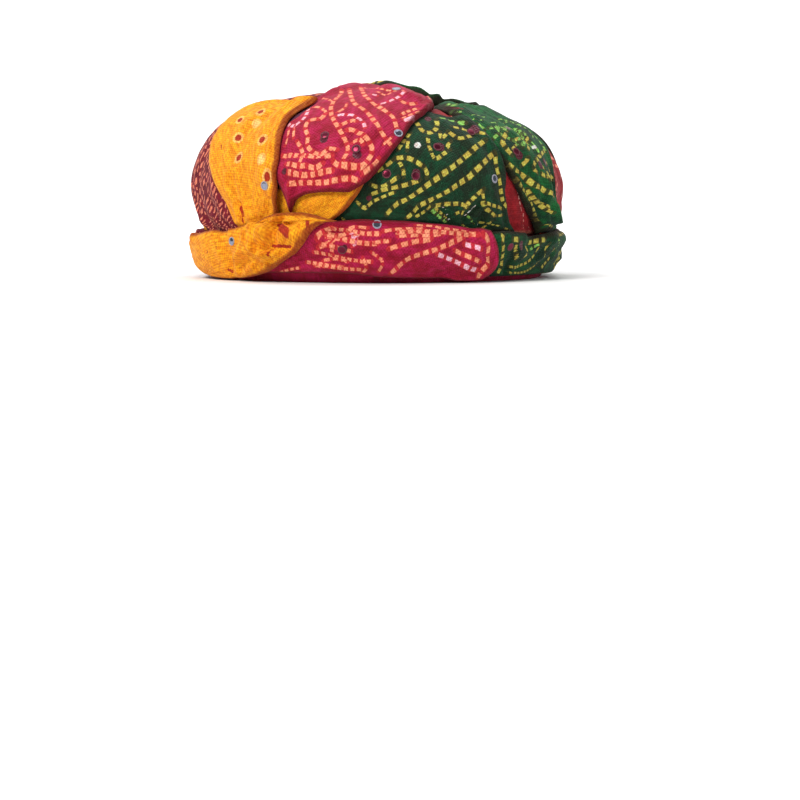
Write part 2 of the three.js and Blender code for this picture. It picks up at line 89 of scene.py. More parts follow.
# Folds and wraps from the lowest to the highest, with edges as turn and reach pairs. They follow the
# solids', but the tip and foot of the yellow front fold, the right end and top of the yellow front wrap
# and the edge of the green crown fold differ by a few millimetres. puff, ruck, ease, hem and cell are in
# millimetres: how far a cloth stands up, how deep its fine folds are, how much higher than usual it lies
# over the cloths below, how thick its hem is and how wide its grid cells are. pleat is the way the fine
# folds run ("up" or "along"). chart is where the edges are blended: in turn and reach ("turn"), or in
# their plan ("plan").
FOLDS = [
    dict(name="fold_red_inner", puff=0.4, ruck=0.9,
        a="37 1.05 34 .95 31 .8 27 .68 18 .54 6 .4",
        b="57 1.05 54 .92 48 .78 44 .66 42 .54 42 .4"),
    dict(name="fold_red_side", puff=4.6, ruck=1.5,
        a="57 1.06 55 .92 55 .8 57 .68 54 .55 45 .4 30 .25",
        b="104 1.06 106 .92 107 .8 106 .68 102 .55 96 .4 84 .25"),
    dict(name="fold_green_side", puff=5, ruck=1,
        a="53 1.06 52 .98 49 .93 44.5 .87 40 .8 37 .74 33.5 .67 30 .58 28 .46 29 .33",
        b="67 1.06 65 .97 63 .92 60.5 .86 60 .8 62 .74 64 .67 65 .56 66 .46 74 .32"),
    dict(name="fold_green_front", puff=3.6, ruck=0.6, cell=0.75,
        a="-20 1.04 -15 .94 -8 .84 -2 .74 4 .64 8 .52",
        b="42 1.06 39.5 .96 37.5 .86 36 .77 33.5 .67 29.5 .57",
        top="8 .52 17 .54 24 .555 29.5 .57"),
    dict(name="fold_yellow_tie", puff=1.6, pleat="along", ruck=0.5,
        a="-32 1.02 -32 .94 -31 .85",
        b="-13 .99 -8 .92 -3.5 .83",
        foot="-32 1.02 -26 1.035 -19 1.03 -13 .99",
        top="-31 .85 -20 .82 -10 .815 -3.5 .83"),
    dict(name="fold_magenta_back", puff=4, ruck=1.5,
        a="186 1.05 189 .9 191 .75 190 .6 186 .45 180 .3 172 .17",
        b="237 1.05 240 .9 242 .75 242 .6 240 .45 236 .3 228 .17"),
    dict(name="fold_yellow_side", puff=2.4, ruck=1.6,
        a="232 1.05 235 .9 237 .75 238 .6 236 .45 232 .3 222 .19",
        b="292 1.05 288 .9 286 .75 288 .6 292 .45 298 .32 306 .19"),
    dict(name="fold_maroon_side", puff=2.6, ruck=0.9,
        a="-63 1.07 -72 .96 -78 .86 -81 .74 -78 .6 -70 .48 -58 .36 -44 .22",
        b="-36 1.05 -41 .96 -45 .86 -50 .74 -49 .62 -38 .5 -22 .4 -4 .25"),
    dict(name="fold_magenta_front", puff=4.8, ruck=0.55, cell=0.8,
        chart="plan",
        a="-24.5 .945 -27 .86 -31 .78 -33 .68 -33 .58 -28 .47 -26 .34 -46 .2 -105 .17",
        b="-7.5 .865 -1.5 .815 5 .72 10.5 .62 15.5 .565 21 .49 26 .36 44 .22 100 .17",
        foot="-24.5 .945 -21.5 .885 -15 .868 -7.5 .865",
        top="-105 .17 -150 .24 150 .24 100 .17"),
    dict(name="fold_yellow_front", puff=3, ruck=0.9, cell=0.8, hem=0,
        a="-42 1.09 -46 .95 -50 .87 -56 .79 -60 .73 -63 .65 -62 .56 -54 .485 -41 .462",
        b="-31 1.05 -28.5 .93 -27.5 .84 -28 .75 -29.5 .66 -29.5 .6 -27.5 .535 -25.5 .5 -24.5 .478"),
    dict(name="fold_yellow_back", puff=4.4, ruck=1.6,
        a="145 1.05 148 .9 150 .75 150 .6 148 .45 142 .3 130 .18",
        b="192 1.05 195 .9 196 .75 195 .6 192 .45 186 .3 178 .18"),
    dict(name="fold_green_crown", puff=1.8, ruck=1.3, chart="plan", ease=0.3,
        a="99 1.05 98 .9 95 .76 88 .61 78 .44 62 .34 44 .3 26 .28 10 .25 -8 .2 -40 .14",
        b="150 1.05 153 .9 156 .76 160 .63 166 .52 174 .42 186 .34 206 .28 232 .25 262 .25",
        foot="99 1.05 116 1.05 133 1.05 150 1.05",
        top="-40 .14 -70 .18 -98 .25"),
    dict(name="wrap_maroon_back", puff=1.6, pleat="along", ruck=0.8, ease=0.2,
        a="104 1.29 106 1.15 110 1.02",
        b="160 1.29 155 1.15 151 1.03"),
    dict(name="wrap_green_back", puff=1.8, pleat="along", ruck=0.8,
        a="190 1.29 194 1.15 200 1",
        b="246 1.29 250 1.15 254 1.02"),
    dict(name="wrap_yellow_back", puff=2.2, pleat="along", ruck=0.9, ease=0.6,
        a="148 1.29 144 1.15 138 .995",
        b="202 1.29 206 1.15 212 .995"),
    dict(name="wrap_maroon_left", puff=2.2, pleat="along", ruck=0.9,
        a="-120 1.295 -116 1.15 -110 1",
        b="-50 1.295 -52 1.17 -56 1.06"),
    dict(name="wrap_green_right", puff=2.4, pleat="along", ruck=0.9, cell=0.7,
        a="24 1.295 27 1.17 30 1.055",
        b="116 1.295 121 1.15 126 1",
        top="30 1.055 42 1.065 52 1.075 66 1.06 84 1.03 104 1.01 126 1"),
    dict(name="wrap_magenta_front", puff=2.8, pleat="along", ruck=0.6, cell=0.7,
        a="-42 1.27 -40 1.2 -35 1.11",
        b="29.5 1.295 33.5 1.19 30.5 1.06",
        foot="-42 1.27 -30 1.262 -18 1.26 -8 1.262 0 1.288 12 1.3 22 1.3 29.5 1.295",
        top="-35 1.11 -24 1.03 -12 .99 -4 .975 5 .985 15 1 24 1.03 30.5 1.06"),
    dict(name="wrap_yellow_front", puff=0.9, pleat="along", ruck=0.6, cell=0.55,
        a="-72 1.255 -77 1.17 -73 1.09",
        b="-22 1.145 -16.5 1.07 -10 .985",
        foot="-72 1.255 -60 1.295 -48 1.3 -39 1.275 -30 1.22 -22 1.145",
        top="-73 1.09 -62 1.07 -50 1.05 -41 1.045 -35.5 1.01 -31 .955 -25 .94 -17 .95 -10 .985"),
]

# Creases pressed or pulled into each fold, one a row: width and depth in millimetres, then turn and reach
# along it
CREASES = {
    "fold_green_side": """
    2 1.3: 50 1 47 .9 44 .8 42 .68;
    2.2 1: 57 1 55 .88 52 .76 49 .62""",
    "wrap_green_right": """
    2.4 1: 36 1.09 50 1.13 66 1.12 90 1.1;
    2.4 .8: 38 1.2 54 1.22 74 1.2;
    1.5 1.3: 35.6 1.096 38.9 1.156 38.4 1.245;
    1.6 1.2: 44.6 1.197 50.9 1.165 53.9 1.111;
    1.6 1.2: 43 1.25 54 1.234 61.2 1.157""",
    "wrap_yellow_front": """
    1.3 2.2: -32.6 1.121 -21.6 1.126;
    1.6 2.6: -25.2 .955 -26.8 1.032 -27.1 1.082 -29.5 1.113;
    1.2 1.6: -30.7 1.121 -28.2 1.139 -29.7 1.175;
    1.4 1.5: -33.9 1.203 -27.2 1.165 -21.3 1.132;
    1.4 1.4: -41.8 1.117 -33.6 1.109 -30.9 1.117;
    1.3 1.4: -18.4 1.089 -22.7 1.101 -28.4 1.113;
    1.4 1.4: -41.7 1.208 -33.9 1.157 -30.8 1.125;
    1.3 1.3: -35.3 1.083 -30.9 1.094 -30 1.11;
    1.3 1.2: -16.9 1.071 -20.7 1.064 -26.1 .992""",
    "wrap_magenta_front": """
    1.6 1.2: -12.6 1.049 -1.8 1.094 4.1 1.103;
    1.6 1.1: -21.5 1.169 3.3 1.148;
    1.6 1.1: -25.1 1.211 -15.7 1.187 -6 1.186;
    1.8 1.2: 5.3 1.093 11.8 1.099 18.6 1.103 25.4 1.095;
    1.8 1.1: 1.5 1.184 9.4 1.19 19.6 1.227 26.8 1.217;
    1.6 1: 7 1.235 15.6 1.262 23.7 1.252;
    1.4 1: -8.6 1.081 -4.8 1.114 .3 1.157""",
    "fold_yellow_front": """
    1.4 1.5: -40.7 .915 -38.4 1.043;
    1.5 1.2: -34.8 .974 -32.7 1.023 -31.1 1.037;
    1.6 1.2: -44 .819 -41.2 .891 -37.3 .988;
    1.8 1.1: -28.7 .737 -27.7 .839 -32 .975""",
    "fold_magenta_front": """
    1.5 1.2: -21.6 .841 -21.5 .885;
    1.7 .9: -30.9 .639 -27 .745 -24 .826;
    1.8 .9: -12.5 .776 -7.1 .819 -4.2 .84""",
    "fold_green_front": """
    1.3 1.6: 16.8 .92 18.2 .946 19.8 .992;
    1.3 1.6: 27.7 .913 25.6 .937 23.6 .971;
    1.2 1.4: 29 .939 29.1 1.023;
    1.6 1.2: 33.5 .832 37.4 1.009;
    1.8 1: -5.1 .918 5.6 .948 16.4 .95""",
}

# Hems that are rolled thicker for a stretch: fold, turn, reach, spread in reach, rise in millimetres
ROLLS = [("fold_green_crown", 6, 0.235, 0.2, 2.3), ("fold_green_crown", 43, 0.3, 0.1, 2.8)]

# Mirrors: turn, reach
MIRRORS = [
    (-30.5, 0.84), (-42.5, 1.1), (-15, 0.69), (-5.8, 0.745), (5.2, 0.685), (7, 0.45), (2, 0.81),
    (9.5, 0.815), (16, 0.72), (27.5, 0.655), (32, 0.815), (42, 0.72), (54.5, 0.75), (-0.5, 1.02),
    (-9.5, 1.13), (37.3, 1.12),
    (88, 0.82), (122, 0.72), (168, 0.66), (214, 0.74), (262, 0.7), (176, 1.14),
]


# Printed and stitched lines of each cloth, and a few lines of painted highlight and painted crease shade, one
# a row: tone (0 first, 0.5 pale, 1 deep, 2 white), half width and dash pitch in millimetres (pitch 0 is
# unbroken), then turn and reach along it
PRINT_AND_PAINTED_LIGHT_LINES = {
    # The unbroken pale line from turn 7.8 to 10 near reach 0.62 is a painted highlight, not print.
    "fold_magenta_front": """
    0 .85 4.2: -16.4 .421 -15.4 .468 -16 .542 -15.2 .586 -13.2 .634 -8.2 .734 -8.7 .786;
    0 .85 4.2: -13.7 .408 -8.4 .544 -3.4 .596 -1.2 .649 1.1 .696 3.4 .734;
    0 .85 4.2: -9.3 .373 -4.7 .502 -.1 .563 1.7 .6 3.9 .624 4.9 .669;
    0 .95 4.2: -8.9 .675 -6.6 .677 -1.8 .739 -3.4 .793 -5.3 .799 -9.8 .794 -11.6 .779;
    .5 .75 4.2: -12.9 .615 -9.7 .608 -5 .634 -3.9 .67;
    0 .85 4: -10.8 .655 -8.1 .639 -6.4 .638;
    0 .8 3.6: -7.1 .722 -5.2 .713 -4.1 .731;
    0 .85 4.3: -16.8 .599 -17.7 .625 -21 .63 -21.4 .662 -19.7 .694 -19.5 .725 -17.4 .748 -14.4 .761
      -13.2 .742 -10.8 .745;
    0 .75 4: -22.6 .551 -18.6 .571 -16.3 .593;
    0 .7 4.5: -25.2 .66 -24.3 .696;
    0 .7 4.5: -27.6 .65 -26.9 .697 -27.4 .712;
    0 .8 4.2: -22.9 .708 -20.7 .741 -20 .767 -20.5 .787;
    0 .95 3.5: -27.6 .747 -22 .759 -14.9 .766 -12 .762;
    0 .85 3.8: -25.3 .779 -21 .792 -18.5 .792 -15.8 .799 -14 .786;
    0 .9 4.2: -24.4 .805 -18.6 .815 -11.4 .805;
    0 .95 4.6: -23.7 .837 -14 .835 -7.3 .825 -4.8 .834;
    0 .85 4.2: 0 .77 -1.7 .799 -4.1 .815;
    0 .5 2.2: 1 .729 3.4 .701;
    .5 .6 3.6: 9.6 .493 3.5 .547 -.1 .543;
    .5 .6 3.6: -3.1 .479 -.4 .489;
    0 .55 3.2: -1.2 .451 1.9 .478 5.1 .463;
    0 .5 3.4: -8.7 .375 -3.5 .391 1.6 .441 5.6 .456 9.2 .498;
    0 .6 3.2: 6.4 .609 9.6 .58 12.3 .57;
    0 .6 3.2: 6.6 .627 9.9 .598 12.9 .587;
    .5 1.1 0: 7.8 .628 10 .614;
    1 2.4 0: -29.7 .594 -26.8 .575 -27.8 .51;
    .5 .85 3.3: -29.6 .619 -25.4 .644 -23.1 .599 -26.7 .506;
    0 .6 3.2: -22.7 .475 -16.7 .522 -15.4 .468;
    0 .6 3.2: -10.7 .545 -10.8 .576 -13 .596;
    0 .7 4: 7 .533 9.2 .555 12.1 .545""",
    # The three thin unbroken white lines lie on the sharp creases in CREASES and are a painted glint on them.
    "fold_green_front": """
    .5 .75 3.4: 18.7 .589 23.5 .591 26.8 .617;
    0 .8 3.6: 21.7 .635 31.7 .671;
    0 .8 3.8: -.8 .804 1.8 .786 3.7 .767;
    0 .8 3.8: 8.9 .665 5.1 .732;
    0 .8 4: 9.6 .964 12 .943 13.5 .916;
    0 .8 4: 14.3 .927 16.7 .946 18.6 .972;
    0 .75 3.8: 28.9 .905 31.5 .914 36 .925;
    0 .75 3.8: 28.8 .985 31.7 1 34.8 1.028;
    0 .75 3.8: -3.4 .815 1.3 .772;
    2 .35 0: 17.2 .923 18.6 .95 19.8 .987;
    2 .35 0: 23.7 .962 26.9 .917;
    2 .35 0: 28.8 .952 29 1.003;
    0 1.05 4.6: 30.6 .693 20.6 .779 11.9 .848 7.3 .896 4.7 .913 1.9 .956;
    0 1.05 4.6: 32.6 .737 25.2 .805 23.5 .819 17.3 .867 12.4 .906 10.1 .922 9 .947 7.2 .971;
    0 .95 4.2: 32.8 .743 33.3 .787 35.2 .867 36 .899 37.7 .92;
    0 .95 4.6: 28.3 .848 23.2 .925;
    0 .9 5: 14.2 .919 21.9 .911 24.1 .925;
    0 .8 4: 28.1 .859 28.6 .912 30.2 .933 32.5 .953;
    .5 .9 4.2: 13.7 .931 18.5 .994;
    0 .85 4.2: 6.4 .819 6.2 .794 5 .771;
    0 .95 4: 4.2 .761 7.6 .762 12 .794 12.5 .82;
    0 .9 4: 11.4 .609 11.9 .646 12.8 .663 14.6 .666 17.3 .638 17.7 .601;
    0 .85 3.8: 13.7 .685 13.6 .719 15 .763 18.6 .734;
    0 .75 4: 17.8 .657 17.6 .688 19.8 .663;
    0 .75 4: 8.1 .691 7.5 .737;
    0 .85 4.4: -2.4 .84 .5 .851 4.9 .819;
    0 .9 4.6: -2.3 .879 1 .86 5.9 .846 10.6 .826;
    0 .8 4.2: -6.3 .901 -3.8 .931 -2.1 .911 4.1 .867;
    0 .8 4.2: 20.1 .656 21.9 .683 24.1 .687 27.4 .671;
    .5 .45 3.4: 24 .619 26.8 .618;
    0 .7 3.8: 20.4 .695 18.9 .714 19.8 .729;
    0 .75 4: 20.5 .949 22.7 .94 22.9 .987;
    0 .8 4: 31.8 .979 30.5 1.022 28.3 1.047;
    0 .8 4: 23.2 1 25.8 1.033 28.9 1.047;
    0 .7 3.6: -10.4 .964 -8.9 .983;
    .5 .7 4: 24.5 .949 27.1 .999;
    0 .7 3.6: 31.4 .954 36.3 .949;
    0 .7 3.6: 36.7 1.038 40.3 1.059""",
    "fold_green_side": """
    .5 .75 3.4: 35.2 .622 39 .623 41.9 .643;
    .5 .75 3.4: 42.9 .618 51.5 .599 54 .627;
    .5 .75 3.4: 52.8 .664 53.5 .72;
    .5 .75 3.4: 37.8 .65 35.4 .669;
    .5 .75 3.4: 32.1 .595 33.8 .63;
    .5 .75 3.4: 51 .614 51.7 .639 45.3 .697;
    1 .5 0: 28.2 .437 29 .478 31.1 .504;
    .5 .7 3.4: 29.5 .422 30.2 .464 39.8 .414;
    .5 .45 3.4: 31.7 .547 39 .547;
    .5 .45 3.4: 30.1 .564 34.6 .582 40.3 .592;
    .5 .45 3: 28 .473 30.2 .519 36.2 .518;
    0 1 4.2: 41.1 .65 38.2 .684 40.3 .731;
    0 .8 3.8: 42.7 .675 45 .675 51.5 .662 45.8 .719;
    0 .85 3.8: 45.1 .743 44.5 .755 43.2 .766;
    0 .8 3.6: 60.8 .693 53.8 .724 47.8 .755 46.2 .779 47.8 .793;
    0 .75 3.2: 49.1 .792 51.3 .8 58.4 .801;
    0 .95 4.2: 38.4 .756 40.5 .78 43.2 .792 46.6 .824 49.6 .833 51.4 .844 55.9 .856;
    0 .85 3.8: 45.5 .838 48.6 .88 52.5 .919 56.1 .929;
    0 .6 3.6: 41.9 .821 47.3 .878 52.4 .978;
    .5 .5 3: 36.1 .586 41.5 .583 51.6 .552 55.5 .57 57.7 .597 62.6 .613;
    .5 .5 2.6: 35.7 .608 38.3 .616 38.6 .641;
    .5 .5 2.6: 39 .585 41.1 .606 42 .633;
    .5 .55 3: 57.2 .54 58.2 .613 57 .651;
    .5 .5 3: 53.3 .598 51.4 .632 43.8 .683;
    0 .7 3.2: 53.6 .648 51.4 .657;
    0 .7 3.4: 42.2 .699 40.7 .713;
    0 .6 3.2: 56.6 .736 58.4 .804;
    0 .8 4: 53.5 1.018 58.4 1.053;
    .5 .75 3.4: 48.7 .524 54.5 .548 57.4 .59 61.3 .62 61 .659 60.8 .701;
    .5 .75 3.4: 39.2 .613 43.6 .627 51.5 .618 52.5 .658 52.3 .698;
    .5 .75 3.4: 38.2 .65 43.1 .68 44.4 .711;
    0 .8 3.6: 48.2 .745 51.5 .774 52.1 .81;
    0 .8 3.6: 40.5 .804 44.5 .843 48.8 .88 53.1 .915""",
    "fold_red_inner": """
    .5 .55 3.4: 41.3 .768 42.7 .818 44.8 .86 47.4 .935;
    .5 .5 3: 44.8 .948 46 1.018 48.5 1.051;
    .5 .5 3: 48.3 .939 49.4 .974 47.8 1.026;
    .5 .4 3: 52.3 1.001 51.4 1.046""",
    "fold_red_side": """
    .5 .4 4.2: 74.6 .771 74.8 .821 75.6 .893;
    .5 .35 4.2: 63.9 .716 64.3 .763 61.9 .817 67.1 .871 69.4 .938""",
    "fold_green_crown": """
    .5 .5 3.2: 56.3 .216 47.6 .261""",
    "wrap_magenta_front": """
    0 .75 3.2: -12.6 1.049 -4.3 1.07 .3 1.073;
    0 .75 3.2: -13.4 1.084 -4.8 1.103 -.2 1.107;
    0 .75 3.2: -15.1 1.108 -6.9 1.139;
    0 .75 3.2: -17.2 1.14 -7.6 1.176 -1.8 1.181;
    0 .75 3.2: -20 1.19 -10.3 1.214 -4.4 1.22;
    0 .7 3.4: 4.8 1.068 17.1 1.068 24.4 1.077;
    0 .9 4.4: 2.9 1.242 7.8 1.168 15.5 1.125 22.6 1.081;
    0 .8 4.6: 2.3 1.127 13.7 1.09;
    0 .8 4.4: 1 1.063 11.8 1.054;
    0 .8 4.8: 4.6 1.078 12 1.076 16.6 1.072;
    0 .8 4.8: -13.7 1.074 -10.4 1.081 -8.2 1.069 -6.7 1.041 -2.8 1.046;
    0 .6 4: -1.3 1.103 2.8 1.096;
    .5 .9 4.6: 14.9 1.148 22.8 1.202 26.6 1.219;
    .5 .95 4.4: 22.7 1.107 26.6 1.128;
    0 .85 4.4: 19.8 1.131 22.9 1.156 26.8 1.182;
    0 .95 3.8: 27.3 1.082 28.4 1.1 29.3 1.178 28 1.209 27.1 1.263;
    0 .75 4: -4.3 1.164 -3.1 1.206 -4.6 1.241;
    0 .8 4.2: -16 1.09 -12.1 1.048;
    0 .8 4.2: -15.8 1.123 -12.2 1.107 -12.4 1.149;
    0 .7 4: -15.2 1.182 -11.3 1.172 -8.1 1.186;
    .5 .7 4: -7.4 1.081 -5.3 1.094 -6.8 1.115;
    0 .8 4.2: -9 1.214 -17.4 1.201;
    0 .6 3.6: -21.8 1.217 -28.9 1.246;
    0 .75 4.2: 9.3 1.027 13.8 1.035 18 1.055 26.1 1.079;
    0 .7 4.2: -2.1 1.139 1 1.183 -.3 1.229""",
    "wrap_green_right": """
    0 .95 3.4: 34.7 1.073 34 1.106 35.6 1.18 35.8 1.214 35.1 1.252;
    0 .6 3.2: 57.9 1.235 61.1 1.184 58.1 1.128;
    0 .6 3.2: 39.5 1.245 45.1 1.262 50.5 1.247 54.6 1.207 54.5 1.111;
    0 .65 3.4: 39.6 1.218 43.4 1.221 47.7 1.203 50.9 1.161 50.9 1.117;
    0 .75 3.6: 46.7 1.103 52.8 1.094;
    0 .75 3.6: 41.2 1.182 39.4 1.138 39.3 1.105;
    0 .7 3.6: 43.4 1.171 45.6 1.143 45.5 1.107;
    .5 .4 3.6: 56.6 1.095 62.2 1.137 64.3 1.21;
    .5 .5 3.6: 47.2 1.135 51.2 1.109;
    0 .7 3.6: 37.6 1.093 40.1 1.096""",
    # Those of these unbroken dark red lines that follow the creases in CREASES are painted crease shade.
    "wrap_yellow_front": """
    0 1.3 0: -26.4 1.038 -24.1 1.07 -22.4 1.084;
    0 .75 0: -17.7 .987 -17.2 1.077;
    0 .55 0: -28.4 1.117 -22.5 1.12;
    0 .6 0: -51.1 1.106 -50.7 1.127;
    0 .6 0: -55.4 1.138 -55.5 1.151;
    0 .6 0: -48 1.227 -46.6 1.243;
    0 .45 0: -28.6 1.136 -28.7 1.159""",
    # Those of these unbroken dark red lines that follow the creases in CREASES are painted crease shade.
    "fold_yellow_front": """
    0 1 0: -40.8 .921 -40.2 .941;
    0 .4 0: -40.2 .945 -40.1 .979 -38.6 1.038;
    0 .4 0: -34.2 .984 -32.9 1.019;
    0 .4 0: -43.2 .792 -42.8 .797;
    0 .4 0: -52.1 .706 -51.5 .722""",
}

# Printed dots of each cloth: kind (0 dyed with a pale ring, 0.5 pale, 1 foil, 2 white) and radius in
# millimetres, then turn and reach
SPOTS = {
    "fold_yellow_front": """
    0 1.35: -43.1 .572; 0 1.3: -50.6 .607; 0 1.5: -46.5 .677; 0 1.6: -34.5 .699; 0 1.6: -43.2 .748;
    0 1.6: -29.6 .817; .5 1.4: -42.2 .617; .5 1.5: -32.8 .765; .5 1.2: -30.1 .841""",
    "fold_green_front": """
    2 1.5: 10.4 .718; 1 2: 9.6 .81; 1 2.1: 16.8 .719; 1 2.1: 28.8 .646; 1 1.6: 2.1 .807;
    1 1.5: 15.4 .594; 1 1.6: -2.6 .892""",
    "fold_green_side": """
    2 1.3: 52.7 .691; 1 2.1: 42.6 .732; 1 1.9: 49.6 .767; 1 1.6: 43.4 .624""",
    "fold_magenta_front": """
    1 1.9: -15 .704; 1 2: -5.5 .763; 1 1.2: -25.3 .802""",
    "wrap_green_right": """
    1 1.8: 41.3 1.117""",
    "wrap_magenta_front": """
    1 1.3: -8.7 1.123""",
}


def stations():
    """Half width, half length and height of the form at each step of reach."""
    rows = []
    for _, girth, rise in CROWN_ROWS:
        high = BAND_HEIGHT + rise * CROWN_HEIGHT
        rows.append((girth * (HALF_WIDTH + CROWN_EASE), girth * (HALF_LENGTH + CROWN_EASE), high))
    for _, share, rise in BAND_ROWS:
        out = share * BAND_THICKNESS
        rows.append((HALF_WIDTH + out, HALF_LENGTH + out, rise * BAND_HEIGHT))
    return np.array(rows)


STATIONS = stations()
PADDED_ROWS = np.vstack([STATIONS[1] * [-1, -1, 1], STATIONS, 2 * STATIONS[-1] - STATIONS[-2]])


def along(reach):
    """Half width, half length and height at each reach, on a smooth curve through the stations."""
    at = 1 + np.clip(reach / REACH_STEP, 0, len(STATIONS) - 1)
    return spline(PADDED_ROWS, at / (len(PADDED_ROWS) - 1))


def plan_of(turn, reach):
    """Place of the plan chart at a turn and reach."""
    turn, reach = np.asarray(turn, float) * RAD, np.asarray(reach, float)
    return np.stack([reach * np.sin(turn), -reach * np.cos(turn)], -1)


def form(plan):
    """Point of the under form at each place of the plan chart."""
    reach = np.minimum(np.hypot(plan[..., 0], plan[..., 1]), LAST_REACH)
    turn = np.arctan2(plan[..., 0], -plan[..., 1])
    wide, long, high = np.moveaxis(along(reach), -1, 0)
    for at_turn, at_reach, spread, depth in HOLLOWS:
        away = np.linalg.norm(plan - plan_of(at_turn, at_reach), axis=-1) / spread
        high = high - depth * CROWN_HEIGHT * np.exp(-(away**2))
    return np.stack([wide * np.sin(turn), -long * np.cos(turn), high], -1)


def normal(plan):
    """Outward direction of the form at each place of the plan chart."""
    probe = 0.004
    reach = np.hypot(plan[..., 0], plan[..., 1])
    inner = plan * (np.minimum(reach, LAST_REACH - 2 * probe) / np.maximum(reach, 1e-9))[..., None]
    dx, dy = np.array([probe, 0]), np.array([0, probe])
    n = np.cross(form(inner + dx) - form(inner - dx), form(inner + dy) - form(inner - dy))
    return n / np.linalg.norm(n, axis=-1, keepdims=True)


def smooth(t):
    t = np.clip(t, 0, 1)
    return t * t * (3 - 2 * t)


def spline(points, t):
    """Catmull-Rom curve through the points, at shares t of the way."""
    points = np.asarray(points, float)
    last = len(points) - 1
    at = np.clip(t, 0, 1) * last
    i = np.minimum(np.floor(at).astype(int), last - 1) if last else np.zeros_like(at, int)
    w = (at - i)[..., None]
    p0, p1 = points[np.maximum(i - 1, 0)], points[i]
    p2, p3 = points[np.minimum(i + 1, last)], points[np.minimum(i + 2, last)]
    v0, v1 = (p2 - p0) * 0.5, (p3 - p1) * 0.5
    return (2 * p1 - 2 * p2 + v0 + v1) * w**3 + (-3 * p1 + 3 * p2 - 2 * v0 - v1) * w**2 + v0 * w + p1


def length_of(line):
    """Length of a line of points."""
    return np.linalg.norm(np.diff(line, axis=0), axis=1).sum()


def from_segment(p, q, point):
    """Each point's nearest place between p and q, as a share of the way, and its distance from there."""
    way = q - p
    t = np.clip((point - p) @ way / max(way @ way, 1e-9), 0, 1)
    return t, np.linalg.norm(p + t[:, None] * way - point, axis=1)


def pairs(text):
    """Turn and reach pairs written one after another."""
    return np.array(text.split(), float).reshape(-1, 2)


# Size of a cloth's grid cells in millimetres, and the most cells across and along it
CELL = 0.95 if FINE else 2.0
MOST_CELLS = (150, 170) if FINE else (60, 80)
# Steps along each edge of a cloth's outline
EDGE_STEPS = 28
# What a row of FOLDS has where it doesn't say
USUAL = {"chart": "turn", "pleat": "up", "ease": 0.0, "hem": 0.25, "cell": CELL}
# Plan chart to millimetres of cloth, on the crown and on the band
CROWN_SCALE = 125.0
BAND_SCALE = 88.0


class Fold:
    """One cloth: four edges in its chart, blended inside."""

    def __init__(self, row):
        self.__dict__.update({**USUAL, **row})
        self.cloth = self.name.split("_")[1]
        self.on_crown = self.name.startswith("fold_")
        self.scale = CROWN_SCALE if self.on_crown else BAND_SCALE
        self.cell = self.cell if FINE else CELL
        self.edges = {key: pairs(row[key]) for key in ("a", "b", "foot", "top") if key in row}
        a, b = self.edges["a"], self.edges["b"]
        self.edges.setdefault("foot", np.array([a[0], b[0]]))
        self.edges.setdefault("top", np.array([a[-1], b[-1]]))
        self.edges = {key: self.charted(rows) for key, rows in self.edges.items()}
        t = np.arange(EDGE_STEPS) / EDGE_STEPS
        walk = [("foot", t), ("b", t), ("top", 1 - t), ("a", 1 - t)]
        self.outline = self.plan(np.vstack([spline(self.edges[k], s) for k, s in walk]))
        self.rim = form(self.outline)

    def charted(self, rows):
        return plan_of(*rows.T) if self.chart == "plan" else rows

    def plan(self, points):
        return points if self.chart == "plan" else plan_of(points[..., 0], points[..., 1])

    def at(self, u, v):
        u1, v1 = u[..., None], v[..., None]
        a, b = spline(self.edges["a"], v), spline(self.edges["b"], v)
        foot, top = spline(self.edges["foot"], u), spline(self.edges["top"], u)
        a0, b0, a1, b1 = self.edges["a"][0], self.edges["b"][0], self.edges["a"][-1], self.edges["b"][-1]
        sides = a + (b - a) * u1
        spans = foot + (top - foot) * v1
        corners = (a0 + (b0 - a0) * u1) * (1 - v1) + (a1 + (b1 - a1) * u1) * v1
        return self.plan(sides + spans - corners)

    def distance(self, plan, point):
        """Millimetres from each place to this cloth's edge, below 0 inside it."""
        n = len(self.outline)
        nearest = np.full(len(plan), 1e9)
        inside = np.zeros(len(plan), bool)
        for i in range(n):
            p, q = self.outline[i], self.outline[i - 1]
            crosses = (p[1] > plan[:, 1]) != (q[1] > plan[:, 1])
            if p[1] != q[1]:
                inside ^= crosses & (plan[:, 0] < (q[0] - p[0]) * (plan[:, 1] - p[1]) / (q[1] - p[1]) + p[0])
            nearest = np.minimum(nearest, from_segment(self.rim[i - 1], self.rim[i], point)[1])
        return np.where(inside, -nearest, nearest)


folds = [Fold(row) for row in FOLDS]


def soft_max(p, q, ease):
    h = np.clip(ease - np.abs(p - q), 0, None) / ease
    return np.maximum(p, q) + h * h * ease * 0.25


def under_height(index, plan, point):
    """Height of a cloth's underside over the form, and how far each place is inside its edge."""
    floor = SEAT + FACET_ROOM
    layers = []
    for i in range(index + 1):
        fold = folds[i]
        away = fold.distance(plan, point)
        height = np.full(len(plan), floor)
        for lower in layers:
            over = lower[1] + CLOTH + LAP + fold.ease
            share = smooth(1 - (lower[0] - SKIRT) / SETTLE)
            height = soft_max(height, floor + (over - floor) * share, BLEND)
        height = height + fold.puff * np.sin(np.clip(-away / PUFF_RUN, 0, 1) * math.pi / 2)
        layers.append((away, height))
    return layers[index][1], -layers[index][0]


def wave(points, seed):
    """Smooth noise from about -1 to 1 at each point."""
    return np.array([noise.noise(Vector((float(x), float(y), seed * 7.31))) for x, y in points]) * 1.6


def traced(table, name):
    """The rows of one cloth in a table of lines: the numbers before the colon, and the path after it."""
    rows = []
    for row in table.get(name, "").split(";"):
        head, _, path = row.partition(":")
        if path:
            rows.append((*map(float, head.split()), pairs(path)))
    return rows


